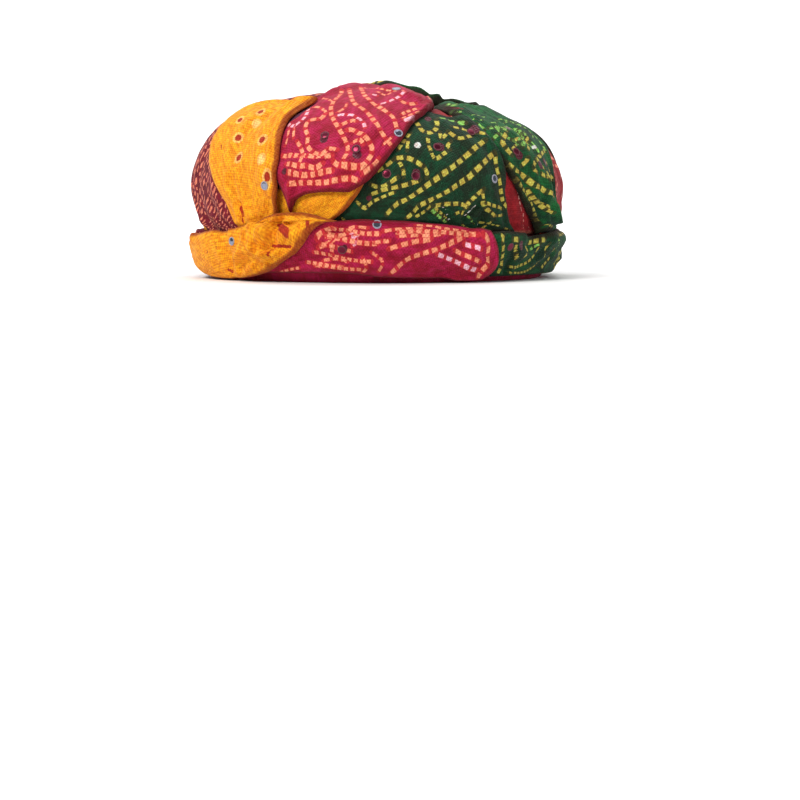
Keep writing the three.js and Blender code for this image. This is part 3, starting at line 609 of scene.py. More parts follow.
def path_distance(path, point):
    """Millimetres from each point to a path given as (turn, reach)."""
    line = form(plan_of(*spline(path, np.linspace(0, 1, 12)).T))
    nearest = np.full(len(point), 1e9)
    for p, q in zip(line[:-1], line[1:]):
        nearest = np.minimum(nearest, from_segment(p, q, point)[1])
    return nearest


# How far from an edge the fine folds are at their full height, in millimetres
OPEN_RUN = 4.0


def uncovered(index, plan, point):
    """1 where a cloth lies open, falling to 0 just under the edge of one above it."""
    free = np.ones(len(plan))
    for fold in folds[index + 1:]:
        free = np.minimum(free, smooth((fold.distance(plan, point) + 1.0) / OPEN_RUN))
    return free


# How far fine folds may press into a cloth's wall, in millimetres
DEEPEST = 1.7
# Fine folds, long and short ones: millimetres between them, how far they run, and their rise for a ruck of 1
LONG_PITCH, SHORT_PITCH = 8.5, 3.6
LONG_RUN, SHORT_RUN = 46, 17
LONG_RISE, PINCHED_RISE, CRUMPLE_RISE = 1.05, 0.42, 0.2
PINCHED_FROM = 0.45
CRUMPLE_PITCH = 5.5
# How much more a cloth gathers at its edge, and how far in that goes
GATHER, GATHER_RUN = 0.9, 9.0
# The swell beside a crease: its share of the depth, and its place and width in crease widths
SWELL, SWELL_AT, SWELL_WIDE = 0.55, 2.1, 0.9
# The flat place and the dimple round a mirror, in millimetres
MIRROR_FLAT, MIRROR_DIMPLE = 4.5, 0.35


def fine_relief(index, u, v, plan, point, inward):
    """Pleats, creases and pulls at the mirrors, in millimetres over the puffed cloth."""
    fold = folds[index]
    wide = np.ptp(fold.rim, axis=0).max()
    across, run = (u, v) if fold.pleat == "up" else (v, u)
    width, length = (wide * 0.7, wide) if fold.pleat == "up" else (30.0, wide)
    bend = 0.35 * wave(np.stack([across * 1.5 + 3, run * 2.2], -1), index + 60)
    long_at = [across * width / LONG_PITCH + bend, run * length / LONG_RUN]
    short_at = [across * width / SHORT_PITCH + bend * 2, run * length / SHORT_RUN]
    long_folds = wave(np.stack(long_at, -1), index + 1)
    pinched = PINCHED_FROM - np.abs(wave(np.stack(short_at, -1), index + 30))
    crumple = wave(plan * CROWN_SCALE / CRUMPLE_PITCH, index + 90)
    gathered = 1 + GATHER * np.exp(-inward / GATHER_RUN)
    relief = fold.ruck * (LONG_RISE * long_folds + PINCHED_RISE * pinched) * gathered + CRUMPLE_RISE * crumple
    for crease_wide, deep, path in traced(CREASES, fold.name):
        near = path_distance(path, point) / crease_wide
        swell = SWELL * np.exp(-(((near - SWELL_AT) / SWELL_WIDE) ** 2))
        relief -= deep * (np.exp(-(near**2)) - swell)
    relief = np.where(relief < 0, DEEPEST * np.tanh(relief / DEEPEST), relief)
    relief *= smooth(inward / OPEN_RUN) * uncovered(index, plan, point)
    for number, (turn, reach) in enumerate(MIRRORS):
        if MIRROR_FOLDS[number] == index:
            near = np.linalg.norm(point - form(plan_of(turn, reach)), axis=1) / MIRROR_FLAT
            relief = relief * (1 - np.exp(-(near**4))) - MIRROR_DIMPLE * np.exp(-(near**2))
    return relief


def top_fold(place):
    """Number of the highest cloth at a place of the plan chart."""
    place = np.atleast_2d(place)
    for i in reversed(range(len(folds))):
        if folds[i].distance(place, form(place))[0] < 0:
            return i
    raise ValueError("no cloth at this place")


# A cloth's edge: the radius that rounds it and its thickness as a share of the full one, then the hem's place
# and width, in millimetres
EDGE_RADIUS, EDGE_SHARE = 1.7, 0.34
HEM_AT, HEM_WIDE = 1.9, 1.5


def edge_round(inward, hem):
    """A cloth's thickness from its edge in: a rolled edge with its hem, then full."""
    roll = np.sqrt(np.clip(1 - (1 - np.clip(inward / EDGE_RADIUS, 0, 1)) ** 2, 0, 1))
    bead = hem * np.exp(-(((inward - HEM_AT) / HEM_WIDE) ** 2))
    return CLOTH * (EDGE_SHARE + (1 - EDGE_SHARE) * roll) + bead


def steps(count):
    """Shares from 0 to 1, closer together at both ends."""
    t = np.linspace(0, 1, count + 1)
    return 0.45 * t + 0.55 * (0.5 - 0.5 * np.cos(math.pi * t))


# The form's own middle, which the solids' box isn't quite centred on
low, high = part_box("band_roll")
MIDDLE = np.array([(low[0] + high[0]) / 2, (low[1] + high[1]) / 2, 0.0])


def to_frame(points):
    """Millimetres of the form to metres of the frame."""
    return points * MM + MIDDLE


def mesh_object(name, points, faces, attributes=()):
    mesh = bpy.data.meshes.new(name)
    mesh.from_pydata([tuple(p) for p in points], [], faces)
    mesh.validate()
    for key, values in attributes:
        layer = mesh.attributes.new(key, "FLOAT_VECTOR", "POINT")
        layer.data.foreach_set("vector", np.asarray(values, np.float32).ravel())
    mesh.polygons.foreach_set("use_smooth", [True] * len(mesh.polygons))
    obj = bpy.data.objects.new(name, mesh)
    bpy.context.collection.objects.link(obj)
    return obj


def wall_faces(rows, columns):
    """Faces of a closed wall: an inner grid, then an outer one, with the rims between them."""
    def at(layer, i, j):
        return layer * rows * columns + i * columns + j

    faces = []
    for i in range(rows - 1):
        for j in range(columns - 1):
            faces.append((at(1, i, j), at(1, i, j + 1), at(1, i + 1, j + 1), at(1, i + 1, j)))
            faces.append((at(0, i, j), at(0, i + 1, j), at(0, i + 1, j + 1), at(0, i, j + 1)))
        end = columns - 1
        faces.append((at(0, i, 0), at(1, i, 0), at(1, i + 1, 0), at(0, i + 1, 0)))
        faces.append((at(1, i, end), at(0, i, end), at(0, i + 1, end), at(1, i + 1, end)))
    for j in range(columns - 1):
        last = rows - 1
        faces.append((at(0, 0, j), at(0, 0, j + 1), at(1, 0, j + 1), at(1, 0, j)))
        faces.append((at(1, last, j), at(1, last, j + 1), at(0, last, j + 1), at(0, last, j)))
    return faces


LAYERS = ("chart", "lines_a", "lines_b", "lines_c", "spots")


# How many times a cloth's grid wavers from side to side over a reach of 1, and how far
WAVERS, WAVER = 9, 0.0035


def fold_surface(index):
    """A cloth's grid: plan places, how far they are inside the edge, underside, outer side, rows, columns."""
    fold = folds[index]
    run, halfway = np.linspace(0, 1, 30), np.full(30, 0.5)
    span, rise = length_of(form(fold.at(run, halfway))), length_of(form(fold.at(halfway, run)))
    columns = int(np.clip(span / fold.cell, 16, MOST_CELLS[0])) + 1
    rows = int(np.clip(rise / fold.cell, 16, MOST_CELLS[1])) + 1
    u, v = np.meshgrid(steps(columns - 1), steps(rows - 1))
    flat = fold.at(u, v).reshape(-1, 2)
    flat = flat + WAVER * np.stack([wave(flat * WAVERS, 200 + index), wave(flat * WAVERS, 230 + index)], -1)
    point = form(flat)
    height, inward = under_height(index, flat, point)
    rim = np.minimum(np.minimum(u, 1 - u) * span, np.minimum(v, 1 - v) * rise).ravel()
    inward = np.minimum(np.maximum(inward, 0), rim)
    relief = fine_relief(index, u.ravel(), v.ravel(), flat, point, inward)
    n = normal(flat)
    under = point + n * height[:, None]
    hem = np.full(len(flat), fold.hem)
    for name, turn, reach, spread, rise_by in ROLLS:
        if name == fold.name:
            hem += rise_by * np.exp(-((np.linalg.norm(flat - plan_of(turn, reach), axis=1) / spread) ** 2))
    over = point + n * (height + edge_round(inward, hem) + relief)[:, None]
    return flat, inward, under, over, rows, columns


def smooth_path(points, pitch=2.0):
    """A path in millimetres of cloth, with points closer together."""
    points = np.asarray(points, float)
    return spline(points, np.linspace(0, 1, max(int(length_of(points) / pitch), 2) + 1))


def line_fields(place, rows):
    """Three layers of print lines and painted light lines: at each place, the distance from the nearest line
    in half widths, how many dashes along it the place is, and its tone. Lines that come close together go to
    different layers."""
    layers = [np.tile([9.0, 0.5, 0.0], (len(place), 1)) for _ in range(3)]
    held = [np.full((1, 2), 1e6) for _ in range(3)]
    for tone, half, pitch, path in rows:
        line = smooth_path(path)
        room = [np.linalg.norm(line[:, None] - other[None], axis=-1).min() for other in held]
        number = int(np.argmax(room))
        held[number] = np.vstack([held[number], line])
        layer = layers[number]
        steps_along = np.concatenate([[0], np.cumsum(np.linalg.norm(np.diff(line, axis=0), axis=1))])
        dashes = max(round(steps_along[-1] / pitch), 1) if pitch else 0
        for k, (p, q) in enumerate(zip(line[:-1], line[1:])):
            t, away = from_segment(p, q, place)
            away /= half
            nearer = away < layer[:, 0]
            share = (steps_along[k] + t * (steps_along[k + 1] - steps_along[k])) / steps_along[-1]
            layer[nearer, 0] = away[nearer]
            layer[nearer, 1] = (share * dashes if dashes else np.full_like(share, 0.5))[nearer]
            layer[nearer, 2] = tone
    return layers


def spot_field(place, rows):
    """At each place, the distance from the nearest dot in radii, and its kind."""
    field = np.tile([9.0, 0.0, 0.0], (len(place), 1))
    for kind, radius, centre in rows:
        away = np.linalg.norm(place - centre, axis=1) / radius
        nearer = away < field[:, 0]
        field[nearer, 0] = away[nearer]
        field[nearer, 1] = kind
    return field


# Cloths with close rows of dashes: fold, and how far the rows are turned in the chart, in degrees
MAROON_ROWS = {"fold_maroon_side": 68.0, "wrap_maroon_left": 80.0, "wrap_maroon_back": 40.0}

# Where the shared motifs are printed: fold, and the part of its length that they cover
MOTIFS = {
    "fold_red_side": (0.05, 0.95),
    "fold_magenta_back": (0.02, 0.97),
    "fold_green_crown": (0.02, 0.97),
    "fold_magenta_front": (0.64, 0.97),
    "fold_yellow_side": (0.05, 0.95),
    "fold_yellow_back": (0.05, 0.95),
    "wrap_green_back": (0.0, 1.0),
    "wrap_yellow_back": (0.0, 1.0),
    "wrap_green_right": (0.0, 1.0),
}


def motif_rows(fold):
    """The shared motifs on one cloth: edge lines, chevrons and rings round foil dots, as lines and dots."""
    low, high = MOTIFS[fold.name]

    def path(places):
        """Places given as shares of the way across the cloth and along its stretch of motifs."""
        across, up = np.array(places, float).T
        up = low + (high - low) * up
        return (fold.at(across, up) if fold.on_crown else fold.at(up, across)) * fold.scale

    length = length_of(path([(0.5, t) for t in np.linspace(0, 1, 20)]))
    count = max(round(length / 30), 1)
    lines, dots = [], []
    if fold.cloth == "yellow":
        for k in range(count * 2):
            v = (k + 0.5) / (count * 2)
            for j, u in enumerate((0.22, 0.5, 0.78)):
                kind = 0.5 if (k + j) % 4 == 3 else 0
                v_here = v + 0.12 / count * (1 if j == 1 else -1)
                dots.append((kind, 1.5, path([(u + 0.03 * math.sin(5 * k + j), v_here)])[0]))
        return lines, dots

    def ring(centre, radius, corners):
        turns = np.linspace(0, 2 * math.pi, corners)
        return [centre + radius * np.array([math.cos(t), math.sin(t)]) for t in turns]

    start = 0.4 if fold.name == "wrap_green_right" else 0.0
    for u in (0.08, 0.92):
        lines.append((0, 0.85, 4.2, path([(u, t) for t in np.linspace(max(start, 0.02), 0.98, 9)])))
    for k in range(count):
        v0, v1 = k / count, (k + 1) / count
        if v0 < start:
            continue
        mid = (v0 + v1) / 2
        for lift in (0.12, 0.28):
            tip = v0 + (v1 - v0) * lift
            wing = tip + (v1 - v0) * 0.3
            middle = (wing + tip) / 2
            lines.append((0, 0.9, 4.4, path([(0.2, wing), (0.34, middle), (0.5, tip)])))
            lines.append((0, 0.9, 4.4, path([(0.5, tip), (0.66, middle), (0.8, wing)])))
        centre = path([(0.5, mid + 0.22 / count)])[0]
        lines.append((0.5 if k % 2 else 0, 0.85, 3.6, ring(centre, 5.2, 13)))
        dots.append((1, 1.7, centre))
        for u in (0.22, 0.78):
            side_at = path([(u, min(mid + 0.28 / count, 0.99))])[0]
            lines.append((0, 0.7, 2.6, ring(side_at, 2.9, 9)))
    return lines, dots


def print_and_painted_light_layers(fold, plan):
    scale = fold.scale
    lines = [(*look, plan_of(*path.T) * scale) for *look, path in traced(PRINT_AND_PAINTED_LIGHT_LINES, fold.name)]
    dots = [(*look, plan_of(*place[0]) * scale) for *look, place in traced(SPOTS, fold.name)]
    if fold.name in MOTIFS:
        more_lines, more_dots = motif_rows(fold)
        lines += more_lines
        dots += more_dots
    return [*line_fields(plan * scale, lines), spot_field(plan * scale, dots)]


def build_fold(index):
    fold = folds[index]
    flat, inward, under, over, rows, columns = fold_surface(index)
    chart = np.hstack([flat, inward[:, None] / fold.scale])
    layers = [chart, *print_and_painted_light_layers(fold, flat)]
    obj = mesh_object(
        fold.name.replace("fold_", "cloth_").replace("wrap_", "band_"),
        to_frame(np.vstack([under, over])),
        wall_faces(rows, columns),
        [(key, np.vstack([values, values])) for key, values in zip(LAYERS, layers)],
    )
    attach(obj, "root")
    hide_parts(fold.name)
    wide, long = flat_size(fold)
    rows_at = MAROON_ROWS.get(fold.name)
    obj.data.materials.append(cloth_material(f"{fold.name}_cloth", fold.cloth, fold.scale, rows_at=rows_at))
    return obj


def flat_size(fold):
    """Width and length of a cloth laid flat: the longest of five lines across it, and of five along it."""
    run = np.linspace(0, 1, 30)
    across, upward = [], []
    for share in np.linspace(0, 1, 5):
        fixed = np.full(30, share)
        for lengths, line in ((across, fold.at(run, fixed)), (upward, fold.at(fixed, run))):
            lengths.append(length_of(form(line)))
    return max(across), max(upward)


class Nodes:
    """Short ways to add shader nodes to a material."""

    def __init__(self, name):
        self.material = bpy.data.materials.new(name)
        self.material.use_nodes = True
        self.tree = self.material.node_tree
        self.shader = self.tree.nodes["Principled BSDF"]

    def put(self, value, socket):
        if isinstance(value, bpy.types.NodeSocket):
            self.tree.links.new(value, socket)
        else:
            socket.default_value = value

    def surface(self, values):
        """Sets the shader's own sockets."""
        for key, value in values.items():
            self.put(value, self.shader.inputs[key])
        return self.material

    def node(self, kind, values, output=0, **settings):
        """Output of a new node, its inputs given in their order or by key."""
        node = self.tree.nodes.new(kind)
        for key, value in settings.items():
            setattr(node, key, value)
        for key, value in values.items() if isinstance(values, dict) else enumerate(values):
            self.put(value, node.inputs[key])
        return node.outputs[output]

    def math(self, operation, *values):
        return self.node("ShaderNodeMath", values, operation=operation)

    def vector(self, operation, values):
        return self.node("ShaderNodeVectorMath", values, operation=operation)

    def turned(self, vector, degrees):
        values = {"Vector": vector, "Angle": degrees * RAD}
        return self.node("ShaderNodeVectorRotate", values, rotation_type="Z_AXIS")

    def attribute(self, name):
        return self.node("ShaderNodeAttribute", (), "Vector", attribute_name=name)

    def split(self, vector):
        return [self.node("ShaderNodeSeparateXYZ", (vector,), k) for k in range(3)]

    def noise(self, vector, scale, detail=2.0, rough=0.5):
        values = {"Vector": vector, "Scale": scale, "Detail": detail, "Roughness": rough}
        return self.node("ShaderNodeTexNoise", values)

    def ramp(self, value, low, high, to_low=0.0, to_high=1.0):
        """value from low to high, mapped smoothly to to_low to to_high."""
        values = (value, low, high, to_low, to_high)
        return self.node("ShaderNodeMapRange", values, interpolation_type="SMOOTHSTEP")

    def mix(self, share, one, other, blend="MIX"):
        one, other = ((*c, 1.0) if isinstance(c, tuple) else c for c in (one, other))
        return self.node("ShaderNodeMix", {0: share, 6: one, 7: other}, 2, data_type="RGBA", blend_type=blend)

    def from_middle(self, value):
        """How far a value is from the middle of its whole step."""
        return self.math("ABSOLUTE", self.math("SUBTRACT", self.math("FRACT", value), 0.5))

    def inked(self, kind, inks):
        """The ink of each kind, the next one from each limit on."""
        ink = inks[0]
        for limit, following in zip((0.25, 0.75, 1.5), inks[1:]):
            ink = self.mix(self.math("GREATER_THAN", kind, limit), ink, following)
        return ink


# Millimetres from thread to thread, and how much red, green and blue darken in the painted shade between them
WEAVE = 1.35
WARM_SHADE = (0.5, 1.0, 1.1)

# Cloths: two dye tones and the size of their mottling in millimetres, the inks of the print (first, pale and
# deep), the tone under a line of dashes and that of the edge, all in linear colour
CLOTHS = {
    "magenta": dict(
        tone=(0.47, 0.01, 0.07), deep=(0.34, 0.006, 0.03), mottle=7.0,
        inks=[(0.97, 0.34, 0.19), (0.93, 0.5, 0.6), (0.1, 0.01, 0.045)], under=(0.62, 0.03, 0.035),
        seam=(0.17, 0.006, 0.012),
    ),
    "yellow": dict(
        tone=(0.95, 0.42, 0.01), deep=(0.88, 0.29, 0.005), mottle=2.2,
        inks=[(0.42, 0.03, 0.008), (0.95, 0.62, 0.2), (0.42, 0.03, 0.008)], under=(0.86, 0.3, 0.01),
        seam=(0.34, 0.055, 0.006),
    ),
    "green": dict(
        tone=(0.004, 0.055, 0.02), deep=(0.009, 0.026, 0.01), mottle=9.0,
        inks=[(0.58, 0.5, 0.08), (0.26, 0.6, 0.11), (0.15, 0.01, 0.02)], under=(0.05, 0.048, 0.01),
        seam=(0.016, 0.012, 0.004),
    ),
    "red": dict(
        tone=(0.4, 0.012, 0.018), deep=(0.26, 0.006, 0.012), mottle=5.0,
        inks=[(0.93, 0.3, 0.2), (0.9, 0.42, 0.36), (0.2, 0.006, 0.01)], under=(0.35, 0.01, 0.014),
        seam=(0.42, 0.1, 0.06),
    ),
    "maroon": dict(
        tone=(0.22, 0.007, 0.022), deep=(0.13, 0.004, 0.014), mottle=5.0,
        inks=[(0.76, 0.22, 0.13), (0.88, 0.32, 0.22), (0.5, 0.22, 0.05)], under=(0.24, 0.01, 0.03),
        seam=(0.13, 0.004, 0.016),
    ),
}


# Cloths that are brighter than the rest of their kind
OWN_TONES = {
    "fold_green_side_cloth": dict(tone=(0.006, 0.125, 0.024), deep=(0.003, 0.036, 0.014), mottle=12.0),
    "fold_green_crown_cloth": dict(tone=(0.006, 0.11, 0.024), deep=(0.003, 0.036, 0.014), mottle=12.0),
    "wrap_green_right_cloth": dict(tone=(0.005, 0.085, 0.022), deep=(0.004, 0.03, 0.012), mottle=10.0),
}
WHITE = (0.78, 0.78, 0.74)
FOIL = (0.1, 0.008, 0.022)


def print_and_painted_light_lines(n, colour, ragged, layer, look):
    """Dashed lines of one layer over the colour so far."""
    away, dash_at, tone = n.split(n.attribute(layer))
    away = n.math("MULTIPLY_ADD", ragged, 0.5, away)
    from_middle = n.math("MULTIPLY_ADD", ragged, 0.12, n.from_middle(dash_at))
    on_line = n.ramp(away, 0.8, 1.15, 1.0, 0.0)
    on_dash = n.ramp(from_middle, 0.27, 0.35, 1.0, 0.0)
    colour = n.mix(n.ramp(away, 1.0, 1.5, 0.75, 0.0), colour, look["under"])
    return n.mix(n.math("MULTIPLY", on_line, on_dash), colour, n.inked(tone, [*look["inks"], WHITE]))


def printed_spots(n, colour, ragged, look):
    """Dyed dots with a pale ring, pale dots, and dots of foil. Also gives how much foil a place has."""
    away, kind, _ = n.split(n.attribute("spots"))
    away = n.math("MULTIPLY_ADD", ragged, 0.25, away)
    ring = n.math("MULTIPLY", n.ramp(away, 1.45, 1.8, 1.0, 0.0), n.math("LESS_THAN", kind, 0.75))
    colour = n.mix(n.math("MULTIPLY", ring, 0.6), colour, look["inks"][1])
    dot = n.ramp(away, 0.85, 1.1, 1.0, 0.0)
    ink = n.inked(kind, [*look["inks"][:2], FOIL, WHITE])
    foil = n.math("MULTIPLY", dot, n.math("GREATER_THAN", kind, 0.75))
    return n.mix(dot, colour, ink), foil


# Close rows of dashes: millimetres from row to row, and from dash to dash
ROW_PITCH, DASH_PITCH = 2.7, 4.6


def dash_rows(n, colour, ragged, place, look):
    """Close rows of small staggered dashes, the whole cloth over."""
    x, y, _ = n.split(place)
    drift = n.math("MULTIPLY", n.math("SUBTRACT", n.noise(place, 0.12, 1.0), 0.5), 2.4)
    row = n.math("MULTIPLY_ADD", x, 1 / ROW_PITCH, drift)
    across = n.math("MULTIPLY_ADD", ragged, 0.22, n.from_middle(row))
    stagger = n.math("MULTIPLY", n.math("FLOOR", row), 0.37)
    within = n.from_middle(n.math("MULTIPLY_ADD", y, 1 / DASH_PITCH, n.math("ADD", stagger, drift)))
    mask = n.math("MULTIPLY", n.ramp(across, 0.17, 0.27, 1.0, 0.0), n.ramp(within, 0.22, 0.31, 1.0, 0.0))
    return n.mix(mask, colour, look["inks"][0])


def cloth_material(name, cloth, scale, prints=True, rows_at=None):
    """Woven cotton: mottled dye, its prints and painted light lines if it has any, and painted weave shade
    between threads.
    """
    n = Nodes(name)
    look = {**CLOTHS[cloth], **OWN_TONES.get(name, {})}
    place = n.vector("SCALE", {0: n.attribute("chart"), "Scale": scale})
    x, y, inward = n.split(place)
    warp = n.noise(n.vector("MULTIPLY", (place, (1 / WEAVE, 0.07, 1.0))), 1.0, 1.0)
    weft = n.noise(n.vector("MULTIPLY", (place, (0.07, 1 / WEAVE, 1.0))), 1.0, 1.0)
    slub = n.ramp(n.math("ADD", warp, weft), 0.75, 1.25, 0.74, 1.22)
    mottle = n.ramp(n.noise(place, 1 / look["mottle"], 3.0, 0.65), 0.38, 0.64)
    colour = n.mix(mottle, look["deep"], look["tone"])
    ragged = n.math("SUBTRACT", n.noise(place, 0.75, 1.0), 0.5)
    foil = None
    if rows_at is not None:
        colour = dash_rows(n, colour, ragged, n.turned(place, rows_at), look)
    if prints:
        for layer in LAYERS[1:4]:
            colour = print_and_painted_light_lines(n, colour, ragged, layer, look)
        colour, foil = printed_spots(n, colour, ragged, look)
        edge = n.ramp(n.math("MULTIPLY_ADD", ragged, 0.8, inward), 0.7, 2.0, 0.9, 0.0)
        colour = n.mix(edge, colour, look["seam"])
    # Painted light and shade of the weave, lighter on the threads and darker between them, times the random
    # slub tone
    over = n.math("SINE", n.math("MULTIPLY", x, 2 * math.pi / WEAVE))
    under = n.math("SINE", n.math("MULTIPLY", y, 2 * math.pi / WEAVE))
    weave = n.math("MULTIPLY", over, under)
    shade = n.math("MULTIPLY", slub, n.ramp(weave, -0.9, 0.9, 0.70, 1.14))
    warm = n.node("ShaderNodeCombineColor", [n.math("POWER", shade, power) for power in WARM_SHADE])
    height = n.math("MULTIPLY_ADD", weave, 0.5, n.math("MULTIPLY", slub, 1.5))
    n.surface({
        "Base Color": n.mix(1.0, colour, warm, "MULTIPLY"),
        "Normal": n.node("ShaderNodeBump", {"Strength": 0.9, "Distance": 0.00026, "Height": height}),
        "Roughness": 0.8,
        "Specular IOR Level": 0.2,
        "Sheen Weight": 0.04,
        "Sheen Roughness": 0.5,
    })
    if foil is not None:
        n.surface({"Roughness": n.math("MULTIPLY_ADD", foil, -0.45, 0.8)})
    return n.material


MIRROR_FOLDS = [top_fold(plan_of(turn, reach)) for turn, reach in MIRRORS]

built = [build_fold(index) for index in range(len(folds))]


def ring_faces(count, sides):
    """Faces of a section of so many points turned round so many sides."""
    faces = []
    for i in range(sides):
        j = (i + 1) % sides
        for k in range(count):
            m = (k + 1) % count
            faces.append((i * count + k, i * count + m, j * count + m, j * count + k))
    return faces


# The lining's seam: where it is and how wide in reach, and how high in millimetres
SEAM_AT, SEAM_WIDE, SEAM_HIGH = 0.62, 0.006, 0.5


def build_lining():
    """Cap of lining cloth, its crown panel sewn to its side along a seam."""
    sides = 160 if FINE else 60
    stretches = [(0.006, 0.6, 34), (0.61, 0.63, 5), (0.64, 0.99, 26)]
    reaches = np.concatenate([np.linspace(*stretch) for stretch in stretches])
    turns = np.linspace(0, 360, sides, endpoint=False)
    turn, reach = np.meshgrid(turns, reaches, indexing="ij")
    plan = plan_of(turn, reach)
    n = normal(plan)
    seam = SEAM_HIGH * np.exp(-(((reach - SEAM_AT) / SEAM_WIDE) ** 2))
    soft = 0.25 * np.sin(turn * RAD * 23) * smooth((reach - SEAM_AT - 0.02) / 0.2)
    outside = form(plan) + n * 0.05
    inside = form(plan) - n * (CAP_WALL - 0.1 + soft * 0.5 - seam)[..., None]
    for points in (outside, inside):
        points[..., 2] = np.where(reach > 0.985, BAND_HEIGHT + SEAT, points[..., 2])
    section = np.concatenate([outside, inside[:, ::-1]], axis=1)
    chart = np.pad(np.concatenate([plan, plan[:, ::-1]], axis=1), ((0, 0), (0, 0), (0, 1)))
    faces = [f[::-1] for f in ring_faces(section.shape[1], sides)]
    points = to_frame(section.reshape(-1, 3))
    obj = mesh_object("lining", points, faces, [("chart", chart.reshape(-1, 3))])
    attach(obj, "root")
    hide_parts("cap_top", "cap_side")
    obj.data.materials.append(cloth_material("lining_cloth", "maroon", CROWN_SCALE, prints=False))


def build_roll():
    """Padded roll round the head, flat where it rests."""
    sides = 240 if FINE else 80
    corner = np.linspace(0, math.pi / 2, 6)
    radius = 2.2
    rounded = [(radius * (1 - math.cos(t)), radius * (1 - math.sin(t))) for t in corner]
    section = rounded[::-1] + [(0.0, z) for z in np.linspace(3.5, 21.5, 9)]
    section += [(out, BAND_HEIGHT - high) for out, high in rounded]
    section += [(5.0, BAND_HEIGHT), (7.0, BAND_HEIGHT)]
    for reach in np.linspace(1.0, 1.28, 15):
        wide, _, high = along(np.array([reach]))[0]
        section.append((wide - HALF_WIDTH, high))
    section += [(6.3, 0.5), (5.6, 0.0)]
    turns = np.linspace(0, 360, sides, endpoint=False)
    points, chart = [], []
    for turn in turns:
        for k, (out, high) in enumerate(section):
            gather = 0.22 * math.sin(turn * RAD * 60) * math.sin(math.pi * min(high / BAND_HEIGHT, 1))
            o = out + gather if out < 3 else out
            at = turn * RAD
            points.append(((HALF_WIDTH + o) * math.sin(at), -(HALF_LENGTH + o) * math.cos(at), high))
            chart.append((turn * RAD * 1.1, k * 0.035, 0.0))
    faces = [f[::-1] for f in ring_faces(len(section), sides)]
    obj = mesh_object("rim_roll", to_frame(np.array(points)), faces, [("chart", chart)])
    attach(obj, "root")
    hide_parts("band_roll")
    obj.data.materials.append(cloth_material("rim_roll_cloth", "magenta", BAND_SCALE, prints=False))


# Mirrors of dark red foil, numbered as in MIRRORS from 0
FOIL_MIRRORS = {2, 3, 6, 7, 8, 9, 11, 12, 14, 15, 17, 19}
# Glass and thread of each kind of mirror: name, colour, metallic, roughness
MIRROR_LOOKS = {
    "bright": [
        ("mirror_glass", (0.26, 0.28, 0.36), 1.0, 0.12),
        ("mirror_thread_pale", (0.36, 0.35, 0.42), 0.0, 0.7),
    ],
    "foil": [
        ("mirror_foil", (0.17, 0.022, 0.045), 1.0, 0.3),
        ("mirror_thread_dim", (0.13, 0.030, 0.040), 0.0, 0.7),
    ],
}


def mirror_material(name, colour, metallic, roughness):
    look = {"Base Color": (*colour, 1.0), "Metallic": metallic, "Roughness": roughness}
    return Nodes(name).surface(look)


# Half section of a mirror's glass in millimetres: radius, height over the cloth
GLASS_ROWS = [(0.6, 0.33), (1.0, 0.30), (1.3, 0.25), (1.52, 0.18), (1.58, 0.03), (1.58, -0.3)]
GLASS_TOP = 0.34
# The ring of thread in millimetres: its radius, its height, its own least radius and its swell
THREAD_RADIUS, THREAD_HIGH, THREAD, THREAD_SWELL = 1.68, 0.12, 0.19, 0.1045
# How many wraps of thread go round
WRAPS = 15
# How far from a mirror's middle the cloth is met for its seat, in millimetres
SEAT_REACH = 1.6
# How far over the form the way down to the cloth starts, in metres
SEAT_START = 0.06


